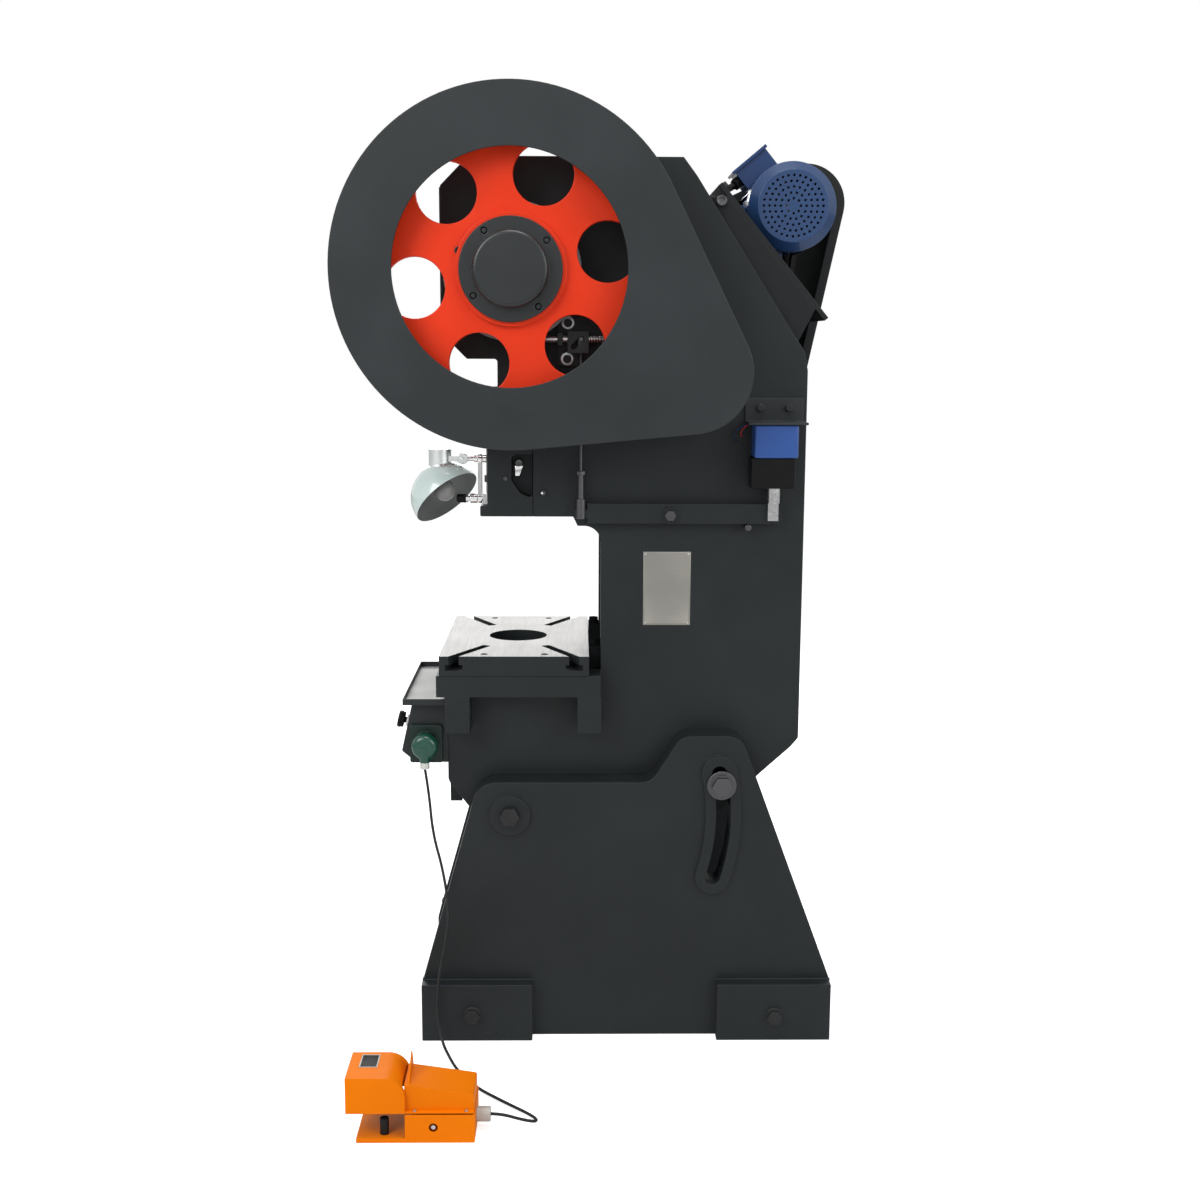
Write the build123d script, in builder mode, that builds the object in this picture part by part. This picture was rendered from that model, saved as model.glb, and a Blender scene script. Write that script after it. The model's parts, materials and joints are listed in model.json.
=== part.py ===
from build123d import *
from math import acos, atan2, cos, degrees, pi, radians, sin, sqrt, tan
import os

# Mechanical stamping press: an open-back inclinable press of the 25-ton class, geared, with its foot switch.
# Millimetres. +X is the gear side, -Y is the front, +Z is up. z = 0 is the floor and x = 0 is the middle of the frame.

os.makedirs("parts", exist_ok=True)

RUN_GAP = 0.4
BEARING_GAP = 0.1

# Main levels and axes
ram_axis_y = -283
crank_z = 1922
table_top_z = 993
stroke = 65
throw = stroke / 4
frame_half_width = 200
column_half_gap = 135
head_top_z = 2193
head_front_y = -457
body_front_y = -455
throat_y = -69
head_bottom_z = 1330
gib_split_y = -237
gib_top_z = 1640
bed_top_z = 943
bed_bottom_z = 889

# The pinion shaft sits behind and below the crank, and the motor behind and above that
gear_module = 8
gear_teeth = 98
pinion_teeth = 23
shaft_spacing = gear_module * (gear_teeth + pinion_teeth) / 2
pinion_drop_angle = 29.15
pinion_y = ram_axis_y + shaft_spacing * cos(radians(pinion_drop_angle))
pinion_z = crank_z - shaft_spacing * sin(radians(pinion_drop_angle))
motor_y = 406
motor_z = 2091

# Cable of the motor
cable_r = 9
cable_points = [
    (-40, 284.5, 2161.7),
    (-18, 240, 2131),
    (24, 252, 2102),
    (40, 272, 2060),
    (40, 276, 2015),
    (38, 262, 1985),
    (36, 244, 1972),
]

# Tilting joint of the frame on its legs
pivot_y = -295
pivot_z = 587
clamp_radius = 535
clamp_angle = 8.6
slot_high_angle = 11.8
slot_low_angle = -17.6


def side(x):
    """A sketching plane that faces +X. On it, across is Y and up is Z."""
    return Plane.YZ.offset(x)


def block(x0, x1, y0, y1, z0, z1, mode=Mode.ADD):
    """A box between these limits."""
    with Locations(((x0 + x1) / 2, (y0 + y1) / 2, (z0 + z1) / 2)):
        Box(abs(x1 - x0), abs(y1 - y0), abs(z1 - z0), mode=mode)


def disc(x0, x1, y, z, radius, mode=Mode.ADD):
    """A round bar along X."""
    with BuildSketch(side(x0)) as sketch:
        with Locations((y, z)):
            Circle(radius)
    extrude(sketch.sketch, amount=x1 - x0, mode=mode)


def post(x, y, z0, z1, radius, mode=Mode.ADD):
    """A round bar along Z."""
    with BuildSketch(Plane.XY.offset(z0)) as sketch:
        with Locations((x, y)):
            Circle(radius)
    extrude(sketch.sketch, amount=z1 - z0, mode=mode)


def bar(x, z, y0, y1, radius, mode=Mode.ADD):
    """A round bar along Y."""
    with BuildSketch(Plane(origin=(x, y0, z), x_dir=(1, 0, 0), z_dir=(0, 1, 0))) as sketch:
        Circle(radius)
    extrude(sketch.sketch, amount=y1 - y0, mode=mode)


def hexagon(x0, x1, y, z, across_flats, mode=Mode.ADD):
    """A hexagon head or nut along X."""
    with BuildSketch(side(x0)) as sketch:
        with Locations((y, z)):
            RegularPolygon(across_flats / 2, 6, major_radius=False)
    extrude(sketch.sketch, amount=x1 - x0, mode=mode)


def slab(x0, x1, corners, mode=Mode.ADD):
    """A plate cut to an outline in Y and Z, between two x values. A third number rounds that corner."""
    with BuildSketch(side(x0)) as sketch:
        with BuildLine():
            Polyline([c[:2] for c in corners], close=True)
        make_face()
        for corner in corners:
            if len(corner) == 3:
                fillet(sketch.vertices().sort_by_distance(corner[:2])[0], corner[2])
    extrude(sketch.sketch, amount=x1 - x0, mode=mode)


def tear_drop(x0, x1, y_a, z_a, r_a, y_b, z_b, r_b, mode=Mode.ADD):
    """Two circles with the two straight lines that touch both, as a plate."""
    span = sqrt((y_b - y_a) ** 2 + (z_b - z_a) ** 2)
    along = atan2(z_b - z_a, y_b - y_a)
    lean = acos((r_a - r_b) / span)
    corners = [
        (y_a + r_a * cos(along + lean), z_a + r_a * sin(along + lean)),
        (y_a + r_a * cos(along - lean), z_a + r_a * sin(along - lean)),
        (y_b + r_b * cos(along - lean), z_b + r_b * sin(along - lean)),
        (y_b + r_b * cos(along + lean), z_b + r_b * sin(along + lean)),
    ]
    with BuildSketch(side(x0)) as sketch:
        with Locations((y_a, z_a)):
            Circle(r_a)
        with Locations((y_b, z_b)):
            Circle(r_b)
        with BuildLine():
            Polyline(corners, close=True)
        make_face()
    extrude(sketch.sketch, amount=x1 - x0, mode=mode)


def tooth_outline(teeth, start_angle):
    """Corners of a spur gear, with straight-sided facets for the tooth flanks."""
    pitch_r = gear_module * teeth / 2
    root_r = pitch_r - 1.25 * gear_module
    tip_r = pitch_r + gear_module
    base_r = pitch_r * cos(radians(20))
    backlash = 1.4

    def half_angle(r):
        flank = tan(acos(base_r / r)) - acos(base_r / r)
        pitch_flank = tan(radians(20)) - radians(20)
        return (pi * gear_module / 2 - backlash / 2) / (2 * pitch_r) + pitch_flank - flank

    radii = [max(root_r, base_r + 0.01), pitch_r, tip_r]
    corners = []
    for n in range(teeth):
        middle = radians(start_angle) + 2 * pi * n / teeth
        if root_r < base_r:
            a = middle - half_angle(radii[0])
            corners.append((root_r * cos(a), root_r * sin(a)))
        for r in radii:
            a = middle - half_angle(r)
            corners.append((r * cos(a), r * sin(a)))
        for r in reversed(radii):
            a = middle + half_angle(r)
            corners.append((r * cos(a), r * sin(a)))
        if root_r < base_r:
            a = middle + half_angle(radii[0])
            corners.append((root_r * cos(a), root_r * sin(a)))
    return corners


def toothed(x0, x1, y, z, teeth, start_angle):
    """A spur gear blank with its teeth."""
    corners = [(y + a, z + b) for a, b in tooth_outline(teeth, start_angle)]
    with BuildSketch(side(x0)) as sketch:
        with BuildLine():
            Polyline(corners, close=True)
        make_face()
    extrude(sketch.sketch, amount=x1 - x0)


def cable(radius, mode=Mode.ADD):
    """The motor's cable, or the way cut for it: out of the terminal box, through the base plate, into the frame."""
    with BuildLine() as run:
        Spline(*cable_points, tangents=[(0, -0.77, -0.64), (0, -0.9, -0.6)])
    with BuildSketch(Plane(origin=run.line @ 0, z_dir=run.line % 0)) as ring:
        Circle(radius)
    sweep(ring.sketch, path=run.line, mode=mode)


def save(part, name):
    """Writes one named piece."""
    part.label = name
    export_step(part, f"parts/{name}.step")


# Frame: one casting with two cheeks, the bed, the head and the cross walls
cheek = [
    (head_front_y, 2124),
    (-389, head_top_z),
    (125, head_top_z),
    (157, 2151),
    (426, 1735, 30),
    (435, 1690),
    (435, 766, 12),
    (415, 742),
    (340, 674),
    (240, 575, 40),
    (160, 500, 40),
    (-200, 500, 40),
    (-330, 515, 40),
    (-406, 589, 20),
    (body_front_y, 655, 20),
    (body_front_y, bed_bottom_z + 10),
    (throat_y, bed_bottom_z + 10),
    (throat_y, 1307, 42),
    (-127, 1307),
    (-138, head_bottom_z),
    (gib_split_y, head_bottom_z),
    (gib_split_y, gib_top_z),
    (-323, gib_top_z),
    (-323, 1715, 8),
    (-397, 1715),
    (head_front_y, 1775),
]
crank_boss_r = 82
crank_bush_r = 62
pinion_boss_r = 66
pinion_bush_r = 45
boss_end_x = 245
pinion_boss_end_x = 240
bed_half_width = 278
bed_front_y = -476
scrap_hole_r = 85
pin_r = 15
pin_gap = 0.7
rib_bottom_z = 797
clamp_y = pivot_y + clamp_radius * cos(radians(clamp_angle))
clamp_z = pivot_z + clamp_radius * sin(radians(clamp_angle))
guide_half_width = 108

with BuildPart() as frame_casting:
    slab(column_half_gap, frame_half_width, cheek)
    # outside bosses for the crank and the pinion shaft
    disc(frame_half_width, boss_end_x, ram_axis_y, crank_z, crank_boss_r)
    disc(frame_half_width, pinion_boss_end_x, pinion_y, pinion_z, pinion_boss_r)
    # strips that the back of the ram's tongues slide on
    block(guide_half_width, column_half_gap, gib_split_y, -178, head_bottom_z, gib_top_z)
    # ribs under the bed
    block(frame_half_width, bed_half_width, body_front_y, -393, rib_bottom_z, bed_bottom_z)
    block(frame_half_width, bed_half_width, -127, -67, rib_bottom_z, bed_bottom_z)
    mirror(about=Plane.YZ)
    block(-column_half_gap, column_half_gap, -389, 125, 2163, head_top_z)
    block(-column_half_gap, column_half_gap, -180, -150, head_bottom_z, gib_top_z)
    block(-column_half_gap, column_half_gap, -180, 60, gib_top_z, 1662)
    block(-bed_half_width, bed_half_width, bed_front_y, throat_y, bed_bottom_z, bed_top_z)
    block(-column_half_gap, column_half_gap, body_front_y, -425, 580, bed_bottom_z)
    block(-column_half_gap, column_half_gap, -190, 150, 500, 524)
    block(-column_half_gap, column_half_gap, 400, 435, 790, 900)
    block(-column_half_gap, column_half_gap, 400, 435, 1500, 1690)
    slab(-column_half_gap, column_half_gap, [(157, 2151), (315, 1907), (292, 1896), (136, 2137)])
    post(0, ram_axis_y, bed_bottom_z, bed_top_z, scrap_hole_r, Mode.SUBTRACT)
    for hand in (-1, 1):
        disc(hand * 100, hand * 260, ram_axis_y, crank_z, crank_bush_r, Mode.SUBTRACT)
        disc(hand * 100, hand * 260, pinion_y, pinion_z, pinion_bush_r, Mode.SUBTRACT)
        disc(hand * 140, hand * 210, pivot_y, pivot_z, pin_r + pin_gap, Mode.SUBTRACT)
        disc(hand * 150, hand * 210, clamp_y, clamp_z, pin_r, Mode.SUBTRACT)
    cable(cable_r + RUN_GAP, Mode.SUBTRACT)
save(frame_casting.part, "frame_casting")

# Bolster: the ground table plate, with its hole, corner T-slots and tapped holes
bolster_half_width = 280
bolster_half_depth = 185
table_hole_r = 75
slot_width = 22
slot_head_width = 38
slot_depth = 36
slot_head_height = 14
slot_angle = 28
tapped_r = 8.75
tapped_x = 250
tapped_y = 75

with BuildPart() as bolster:
    block(
        -bolster_half_width,
        bolster_half_width,
        ram_axis_y - bolster_half_depth,
        ram_axis_y + bolster_half_depth,
        bed_top_z,
        table_top_z,
    )
    post(0, ram_axis_y, bed_top_z, table_top_z, table_hole_r, Mode.SUBTRACT)
    for side_x in (-1, 1):
        for side_y in (-1, 1):
            turn = atan2(side_y * sin(radians(slot_angle)), side_x * cos(radians(slot_angle)))
            for width, low in ((slot_width, 0), (slot_head_width, slot_depth - slot_head_height)):
                height = slot_depth - low
                centre_z = table_top_z - low - height / 2
                reach = 260
                middle = 158 + reach / 2
                with Locations(
                    Location(
                        (middle * cos(turn), ram_axis_y + middle * sin(turn), centre_z),
                        (0, 0, degrees(turn)),
                    )
                ):
                    Box(reach, width, height, mode=Mode.SUBTRACT)
            post(
                side_x * tapped_x,
                ram_axis_y + side_y * tapped_y,
                table_top_z - 35,
                table_top_z,
                tapped_r,
                Mode.SUBTRACT,
            )
save(bolster.part, "bolster")

# Clamp bar behind the bolster, with its two bolts
with BuildPart() as bolster_clamp:
    block(-190, 190, -97, throat_y, bed_top_z, 1000)
    for x in (-150, 150):
        with BuildSketch(Plane.XY.offset(1000)):
            with Locations((x, -83)):
                RegularPolygon(12, 6, major_radius=False)
        extrude(amount=15)
save(bolster_clamp.part, "bolster_clamp")

# Gibs: the two blocks that close the ram guide from the front
gib_front_y = -350
gib_lip_y = -368
tongue_front_y = -277
tongue_x = 127
window_y = -262
window_z = 1437
gib_bolt_y = -300
gib_bolt_heights = (1420, 1520, 1600)

with BuildPart() as gibs:
    slab(
        guide_half_width,
        frame_half_width,
        [
            (gib_split_y, head_bottom_z),
            (gib_split_y, gib_top_z),
            (gib_front_y, gib_top_z),
            (gib_front_y, 1356),
            (gib_lip_y, 1356, 4),
            (gib_lip_y, head_bottom_z, 4),
        ],
    )
    block(
        guide_half_width - 1,
        tongue_x + RUN_GAP,
        tongue_front_y - RUN_GAP,
        gib_split_y + 1,
        head_bottom_z - 1,
        gib_top_z + 1,
        Mode.SUBTRACT,
    )
    # pocket that shows the gib's setting screw
    slab(
        frame_half_width - 35,
        frame_half_width,
        [(-290, 1484, 16), (-240, 1484), (-240, 1376, 6), (-268, 1388, 20), (-290, 1420, 14)],
        Mode.SUBTRACT,
    )
    disc(frame_half_width - 35, frame_half_width - 12, -272, 1462, 8)
    mirror(about=Plane.YZ)
save(gibs.part, "gibs")

# Bolts on the outside of the frame: gib screws, the lever's pivot bolt and its stop
lever_y = 101
lever_z = 1337
lever_in_x = 220
lever_out_x = 230
lever_bolt_r = 8
stop_y = 293
stop_z = 1307.6
stop_r = 8

with BuildPart() as frame_bolts:
    for height in gib_bolt_heights:
        for x in (-154, 154):
            bar(x, height, gib_front_y - 9, gib_front_y, 9)
    disc(frame_half_width, lever_out_x + 4, lever_y, lever_z, lever_bolt_r)
    hexagon(lever_out_x + 4, lever_out_x + 14, lever_y, lever_z, 24)
    disc(frame_half_width, lever_out_x + 3, stop_y, stop_z, stop_r)
    hexagon(lever_out_x + 3, lever_out_x + 12, stop_y, stop_z, 13)
    disc(frame_half_width, frame_half_width + 8, -212, 1389, 6)
    disc(frame_half_width, frame_half_width + 3, -305, 1424, 5)
save(frame_bolts.part, "frame_bolts")

# Bronze bushes of the crank and of the pinion shaft
journal_r = 50
pinion_shaft_r = 30

with BuildPart() as shaft_bushes:
    disc(column_half_gap, boss_end_x, ram_axis_y, crank_z, crank_bush_r)
    disc(column_half_gap, pinion_boss_end_x, pinion_y, pinion_z, pinion_bush_r)
    mirror(about=Plane.YZ)
    disc(-260, 260, ram_axis_y, crank_z, journal_r + BEARING_GAP, Mode.SUBTRACT)
    disc(-260, 260, pinion_y, pinion_z, pinion_shaft_r + BEARING_GAP, Mode.SUBTRACT)
save(shaft_bushes.part, "shaft_bushes")

# Gear guard: a tear-shaped sheet cover with a round window, on four posts
guard_back_x = 255
guard_front_x = 390
guard_sheet = 3
guard_big_r = 416
guard_small_r = 142
guard_window_r = 271
guard_flange = 26
guard_posts = [(-30, 1541.7), (150.7, 1557.8), (75.4, 2101.9), (187.5, 1878.4)]


def guard_plate(x0, x1, inset, mode=Mode.ADD):
    tear_drop(
        x0,
        x1,
        ram_axis_y,
        crank_z,
        guard_big_r - inset,
        pinion_y,
        pinion_z,
        guard_small_r - inset,
        mode,
    )


with BuildPart() as gear_guard:
    guard_plate(guard_back_x, guard_front_x, 0)
    guard_plate(guard_back_x + guard_sheet, guard_front_x - guard_sheet, guard_sheet, Mode.SUBTRACT)
    guard_plate(guard_back_x, guard_back_x + guard_sheet, guard_flange, Mode.SUBTRACT)
    disc(
        guard_front_x - guard_sheet,
        guard_front_x,
        ram_axis_y,
        crank_z,
        guard_window_r,
        Mode.SUBTRACT,
    )
    for y, z in guard_posts:
        disc(frame_half_width, guard_back_x, y, z, 10)
save(gear_guard.part, "gear_guard")

# Front cover of the head: a thin sheet
with BuildPart() as front_cover:
    block(-195, 195, head_front_y - 3, head_front_y, 1839, 2120)
save(front_cover.part, "front_cover")

# Crankshaft: two journals, cheeks and a crankpin set half of a quarter stroke high, brake drum and trip collar
crankpin_r = 55
pin_half_length = 62
web_half_length = 118
crankpin_z = crank_z + throw
bush_z = crankpin_z + throw
drum_in_x = -256
drum_out_x = -300
drum_r = 120
collar_r = 165
gear_in_x = 270
gear_out_x = 345
hub_in_x = 262
hub_out_x = 352

with BuildPart() as crankshaft:
    disc(-pin_half_length, pin_half_length, ram_axis_y, crankpin_z, crankpin_r)
    for hand in (-1, 1):
        disc(hand * pin_half_length, hand * web_half_length, ram_axis_y, crankpin_z - 4, 80)
        disc(hand * web_half_length, hand * 260, ram_axis_y, crank_z, journal_r)
    disc(246, 258, ram_axis_y, crank_z, collar_r)
    disc(258, 368, ram_axis_y, crank_z, journal_r - 2)
    disc(-260, drum_out_x - 6, ram_axis_y, crank_z, journal_r - 4)
    disc(drum_out_x, drum_in_x, ram_axis_y, crank_z, drum_r)
save(crankshaft.part, "crankshaft")

# Brake band around the drum, with its anchor on the cheek
band_r = 127
with BuildPart() as brake_band:
    disc(-294, -264, ram_axis_y, crank_z, band_r)
    block(-294, -264, ram_axis_y - 150, ram_axis_y - 118, crank_z - 14, crank_z + 14)
    disc(-310, -250, ram_axis_y, crank_z, drum_r + 1, Mode.SUBTRACT)
    block(-310, -250, ram_axis_y - 160, ram_axis_y - 100, crank_z - 2, crank_z + 2, Mode.SUBTRACT)
    block(-264, -frame_half_width, ram_axis_y - 150, ram_axis_y - 124, crank_z - 14, crank_z - 2)
    post(-279, ram_axis_y - 142, crank_z - 30, crank_z + 34, 5)
save(brake_band.part, "brake_band")

# Big gear: teeth, rim, holed web and hub, with its bush and its dark hub cap
gear_bush_r = 60
gear_rim_r = 335
gear_hub_r = 131
web_in_x = 300
web_out_x = 324
gear_hole_r = 71
gear_hole_circle_r = 229
first_hole_angle = 10.6
gear_start_angle = -pinion_drop_angle

with BuildPart() as big_gear:
    toothed(gear_in_x, gear_out_x, ram_axis_y, crank_z, gear_teeth, gear_start_angle)
    disc(gear_in_x, web_in_x, ram_axis_y, crank_z, gear_rim_r, Mode.SUBTRACT)
    disc(web_out_x, gear_out_x, ram_axis_y, crank_z, gear_rim_r, Mode.SUBTRACT)
    disc(hub_in_x, hub_out_x - 14, ram_axis_y, crank_z, gear_hub_r)
    disc(hub_in_x - 1, hub_out_x + 1, ram_axis_y, crank_z, gear_bush_r, Mode.SUBTRACT)
    with BuildSketch(side(web_in_x)):
        with Locations((ram_axis_y, crank_z)):
            with PolarLocations(gear_hole_circle_r, 6, start_angle=first_hole_angle):
                Circle(gear_hole_r)
    extrude(amount=web_out_x - web_in_x, mode=Mode.SUBTRACT)
save(big_gear.part, "big_gear")

with BuildPart() as gear_bush:
    disc(hub_in_x, hub_out_x - 14, ram_axis_y, crank_z, gear_bush_r)
    disc(hub_in_x - 1, hub_out_x, ram_axis_y, crank_z, journal_r - 2 + BEARING_GAP, Mode.SUBTRACT)
save(gear_bush.part, "gear_bush")

cap_in_x = hub_out_x - 14
cap_flange_r = 121
cap_flange_out_x = cap_in_x + 12
dome_r = 89
dome_out_x = cap_flange_out_x + 34
with BuildPart() as hub_cap:
    disc(cap_in_x, cap_flange_out_x, ram_axis_y, crank_z, cap_flange_r)
    disc(cap_flange_out_x, dome_out_x, ram_axis_y, crank_z, dome_r)
    fillet(hub_cap.faces().sort_by(Axis.X)[-1].edges(), 11)
    disc(cap_in_x - 1, dome_out_x - 9, ram_axis_y, crank_z, 70, Mode.SUBTRACT)
    # screws in their counterbores
    for angle in (38, 125, 215, 307):
        screw_y = ram_axis_y + 106 * cos(radians(angle))
        screw_z = crank_z + 106 * sin(radians(angle))
        disc(cap_flange_out_x - 5, cap_flange_out_x, screw_y, screw_z, 8, Mode.SUBTRACT)
        disc(cap_flange_out_x - 5, cap_flange_out_x - 1.5, screw_y, screw_z, 6)
save(hub_cap.part, "hub_cap")

# Eccentric bush on the crankpin: its outer circle lies one more throw away from the crank axis
bush_outer_r = 82
with BuildPart() as eccentric_bush:
    disc(-55, 55, ram_axis_y, bush_z, bush_outer_r)
    disc(-60, 60, ram_axis_y, crankpin_z, crankpin_r + BEARING_GAP, Mode.SUBTRACT)
save(eccentric_bush.part, "eccentric_bush")

# Connecting rod with its cap, ball screw, ball cup, cover and the ram
rod_half_width = 50
big_end_r = 110
screw_r = 24
ball_r = 30
ball_z = 1455
ram_top_z = 1600
ram_bottom_z = 1322
ram_half_width = 105
ram_front_y = -358
ram_back_y = -208
cup_bore_r = 52
shank_r = 20
shank_depth = 60

with BuildPart() as connecting_rod:
    disc(-rod_half_width, rod_half_width, ram_axis_y, bush_z, big_end_r)
    block(-rod_half_width, rod_half_width, ram_axis_y - 140, ram_axis_y + 140, bush_z - 32, bush_z)
    post(0, ram_axis_y, 1662, 1890, 46)
    block(-46, 46, ram_axis_y - 44, ram_axis_y + 44, 1800, 1890)
    block(-80, 80, ram_axis_y - 160, ram_axis_y + 160, bush_z, bush_z + 120, Mode.SUBTRACT)
    disc(-60, 60, ram_axis_y, bush_z, bush_outer_r + BEARING_GAP, Mode.SUBTRACT)
    post(0, ram_axis_y, 1650, 1830, screw_r + RUN_GAP, Mode.SUBTRACT)
save(connecting_rod.part, "connecting_rod")

with BuildPart() as rod_cap:
    disc(-rod_half_width, rod_half_width, ram_axis_y, bush_z, big_end_r)
    block(-rod_half_width, rod_half_width, ram_axis_y - 140, ram_axis_y + 140, bush_z, bush_z + 32)
    block(-80, 80, ram_axis_y - 160, ram_axis_y + 160, bush_z - 120, bush_z, Mode.SUBTRACT)
    disc(-60, 60, ram_axis_y, bush_z, bush_outer_r + BEARING_GAP, Mode.SUBTRACT)
    for x in (-28, 28):
        for y in (-124, 124):
            with BuildSketch(Plane.XY.offset(bush_z + 32)):
                with Locations((x, ram_axis_y + y)):
                    RegularPolygon(12, 6, major_radius=False)
            extrude(amount=13)
save(rod_cap.part, "rod_cap")

with BuildPart() as ball_screw:
    with Locations((0, ram_axis_y, ball_z)):
        Sphere(ball_r)
    post(0, ram_axis_y, ball_z + 20, 1822, screw_r)
    with BuildSketch(Plane.XY.offset(1624)):
        with Locations((0, ram_axis_y)):
            RegularPolygon(38, 6, major_radius=False)
    extrude(amount=34)
save(ball_screw.part, "ball_screw")

with BuildPart() as ball_cup:
    post(0, ram_axis_y, ball_z - 45, ball_z, cup_bore_r)
    with Locations((0, ram_axis_y, ball_z)):
        Sphere(ball_r + BEARING_GAP, mode=Mode.SUBTRACT)
    # upper half, with the flange that closes the top of the ram
    post(0, ram_axis_y, ball_z + 0.5, ram_top_z, cup_bore_r)
    post(0, ram_axis_y, ram_top_z, ram_top_z + 16, 74)
    post(0, ram_axis_y, ball_z + 0.5, ram_top_z + 20, screw_r + 3, Mode.SUBTRACT)
    with Locations((0, ram_axis_y, ball_z)):
        Sphere(ball_r + BEARING_GAP, mode=Mode.SUBTRACT)
save(ball_cup.part, "ball_cup")

with BuildPart() as ram:
    block(-ram_half_width, ram_half_width, ram_front_y, ram_back_y, ram_bottom_z, ram_top_z)
    block(
        -tongue_x,
        tongue_x,
        tongue_front_y,
        gib_split_y - RUN_GAP,
        ram_bottom_z,
        ram_top_z,
    )
    post(0, ram_axis_y, ball_z - 45, ram_top_z, cup_bore_r, Mode.SUBTRACT)
    post(0, ram_axis_y, ram_bottom_z, ram_bottom_z + shank_depth, shank_r, Mode.SUBTRACT)
    # slit that lets the front of the ram close on the die's shank
    block(-1.5, 1.5, ram_front_y, ram_axis_y, ram_bottom_z, ram_bottom_z + shank_depth, Mode.SUBTRACT)
    for height in (18, 44):
        bar(-40, ram_bottom_z + height, ram_front_y - 9, ram_front_y, 9)
        bar(40, ram_bottom_z + height, ram_front_y - 9, ram_front_y, 9)
save(ram.part, "ram")

# Pinion shaft with its teeth cut in one piece, and the flywheel on its far end
pinion_in_x = 266
pinion_out_x = 348
flywheel_r = 290
flywheel_in_x = -256
flywheel_out_x = -332
pulley_r = 72
groove_xs = (-275, -294, -313)
groove_half_width = 7.5
groove_depth = 16
belt_side_gap = 0.3

with BuildPart() as pinion_shaft:
    pinion_start = 180 - pinion_drop_angle + 180 / pinion_teeth
    toothed(pinion_in_x, pinion_out_x, pinion_y, pinion_z, pinion_teeth, pinion_start)
    disc(flywheel_out_x - 12, pinion_out_x + 10, pinion_y, pinion_z, pinion_shaft_r)
save(pinion_shaft.part, "pinion_shaft")

with BuildPart() as flywheel:
    disc(flywheel_out_x, flywheel_in_x, pinion_y, pinion_z, flywheel_r)
    disc(flywheel_out_x, flywheel_out_x + 26, pinion_y, pinion_z, 235, Mode.SUBTRACT)
    disc(flywheel_in_x - 26, flywheel_in_x, pinion_y, pinion_z, 235, Mode.SUBTRACT)
    disc(flywheel_out_x, flywheel_in_x, pinion_y, pinion_z, 62)
    for x in groove_xs:
        with BuildSketch(side(x - groove_half_width)):
            with Locations((pinion_y, pinion_z)):
                Circle(flywheel_r + 1)
                Circle(flywheel_r - groove_depth, mode=Mode.SUBTRACT)
        extrude(amount=2 * groove_half_width, mode=Mode.SUBTRACT)
    disc(flywheel_out_x, flywheel_in_x, pinion_y, pinion_z, pinion_shaft_r, Mode.SUBTRACT)
save(flywheel.part, "flywheel")

# Motor rotor: shaft and belt pulley, seen only from the far side
with BuildPart() as motor_rotor:
    disc(-338, 20, motor_y, motor_z, 14)
    disc(-326, -262, motor_y, motor_z, pulley_r)
    for x in groove_xs:
        with BuildSketch(side(x - groove_half_width)):
            with Locations((motor_y, motor_z)):
                Circle(pulley_r + 1)
                Circle(pulley_r - groove_depth, mode=Mode.SUBTRACT)
        extrude(amount=2 * groove_half_width, mode=Mode.SUBTRACT)
save(motor_rotor.part, "motor_rotor")

with BuildPart() as v_belts:
    for x in groove_xs:
        tear_drop(
            x - groove_half_width + belt_side_gap,
            x + groove_half_width - belt_side_gap,
            pinion_y,
            pinion_z,
            flywheel_r - 2,
            motor_y,
            motor_z,
            pulley_r - 2,
        )
        tear_drop(
            x - groove_half_width + belt_side_gap,
            x + groove_half_width - belt_side_gap,
            pinion_y,
            pinion_z,
            flywheel_r - 13,
            motor_y,
            motor_z,
            pulley_r - 13,
            Mode.SUBTRACT,
        )
save(v_belts.part, "v_belts")

# Belt guard on the far side
belt_guard_in_x = -236
belt_guard_out_x = -352
belt_guard_big_r = 350
belt_guard_small_y = 483
belt_guard_small_z = 2125
belt_guard_small_r = 104
belt_sheet = 2.5


def belt_plate(x0, x1, inset, mode=Mode.ADD):
    tear_drop(
        x0,
        x1,
        pinion_y,
        pinion_z,
        belt_guard_big_r - inset,
        belt_guard_small_y,
        belt_guard_small_z,
        belt_guard_small_r - inset,
        mode,
    )


with BuildPart() as belt_guard:
    belt_plate(belt_guard_out_x, belt_guard_in_x, 0)
    belt_plate(belt_guard_out_x + belt_sheet, belt_guard_in_x - belt_sheet, belt_sheet, Mode.SUBTRACT)
    belt_plate(belt_guard_in_x - belt_sheet, belt_guard_in_x, 24, Mode.SUBTRACT)
    for y, z in ((-184, 1594), (-77, 1944), (294, 1390)):
        disc(belt_guard_in_x, -frame_half_width, y, z, 9)
save(belt_guard.part, "belt_guard")

# Motor on its sloping base plate
slope = 50.3
along_y = cos(radians(slope))
along_z = -sin(radians(slope))
out_y = sin(radians(slope))
out_z = cos(radians(slope))
shaft_height = 112
plate_thick = 12


def on_slope(along, out):
    """A point near the motor: distance down the slope, and distance out from the plate's face."""
    return (
        motor_y + along * along_y + (out - shaft_height) * out_y,
        motor_z + along * along_z + (out - shaft_height) * out_z,
    )


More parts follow.
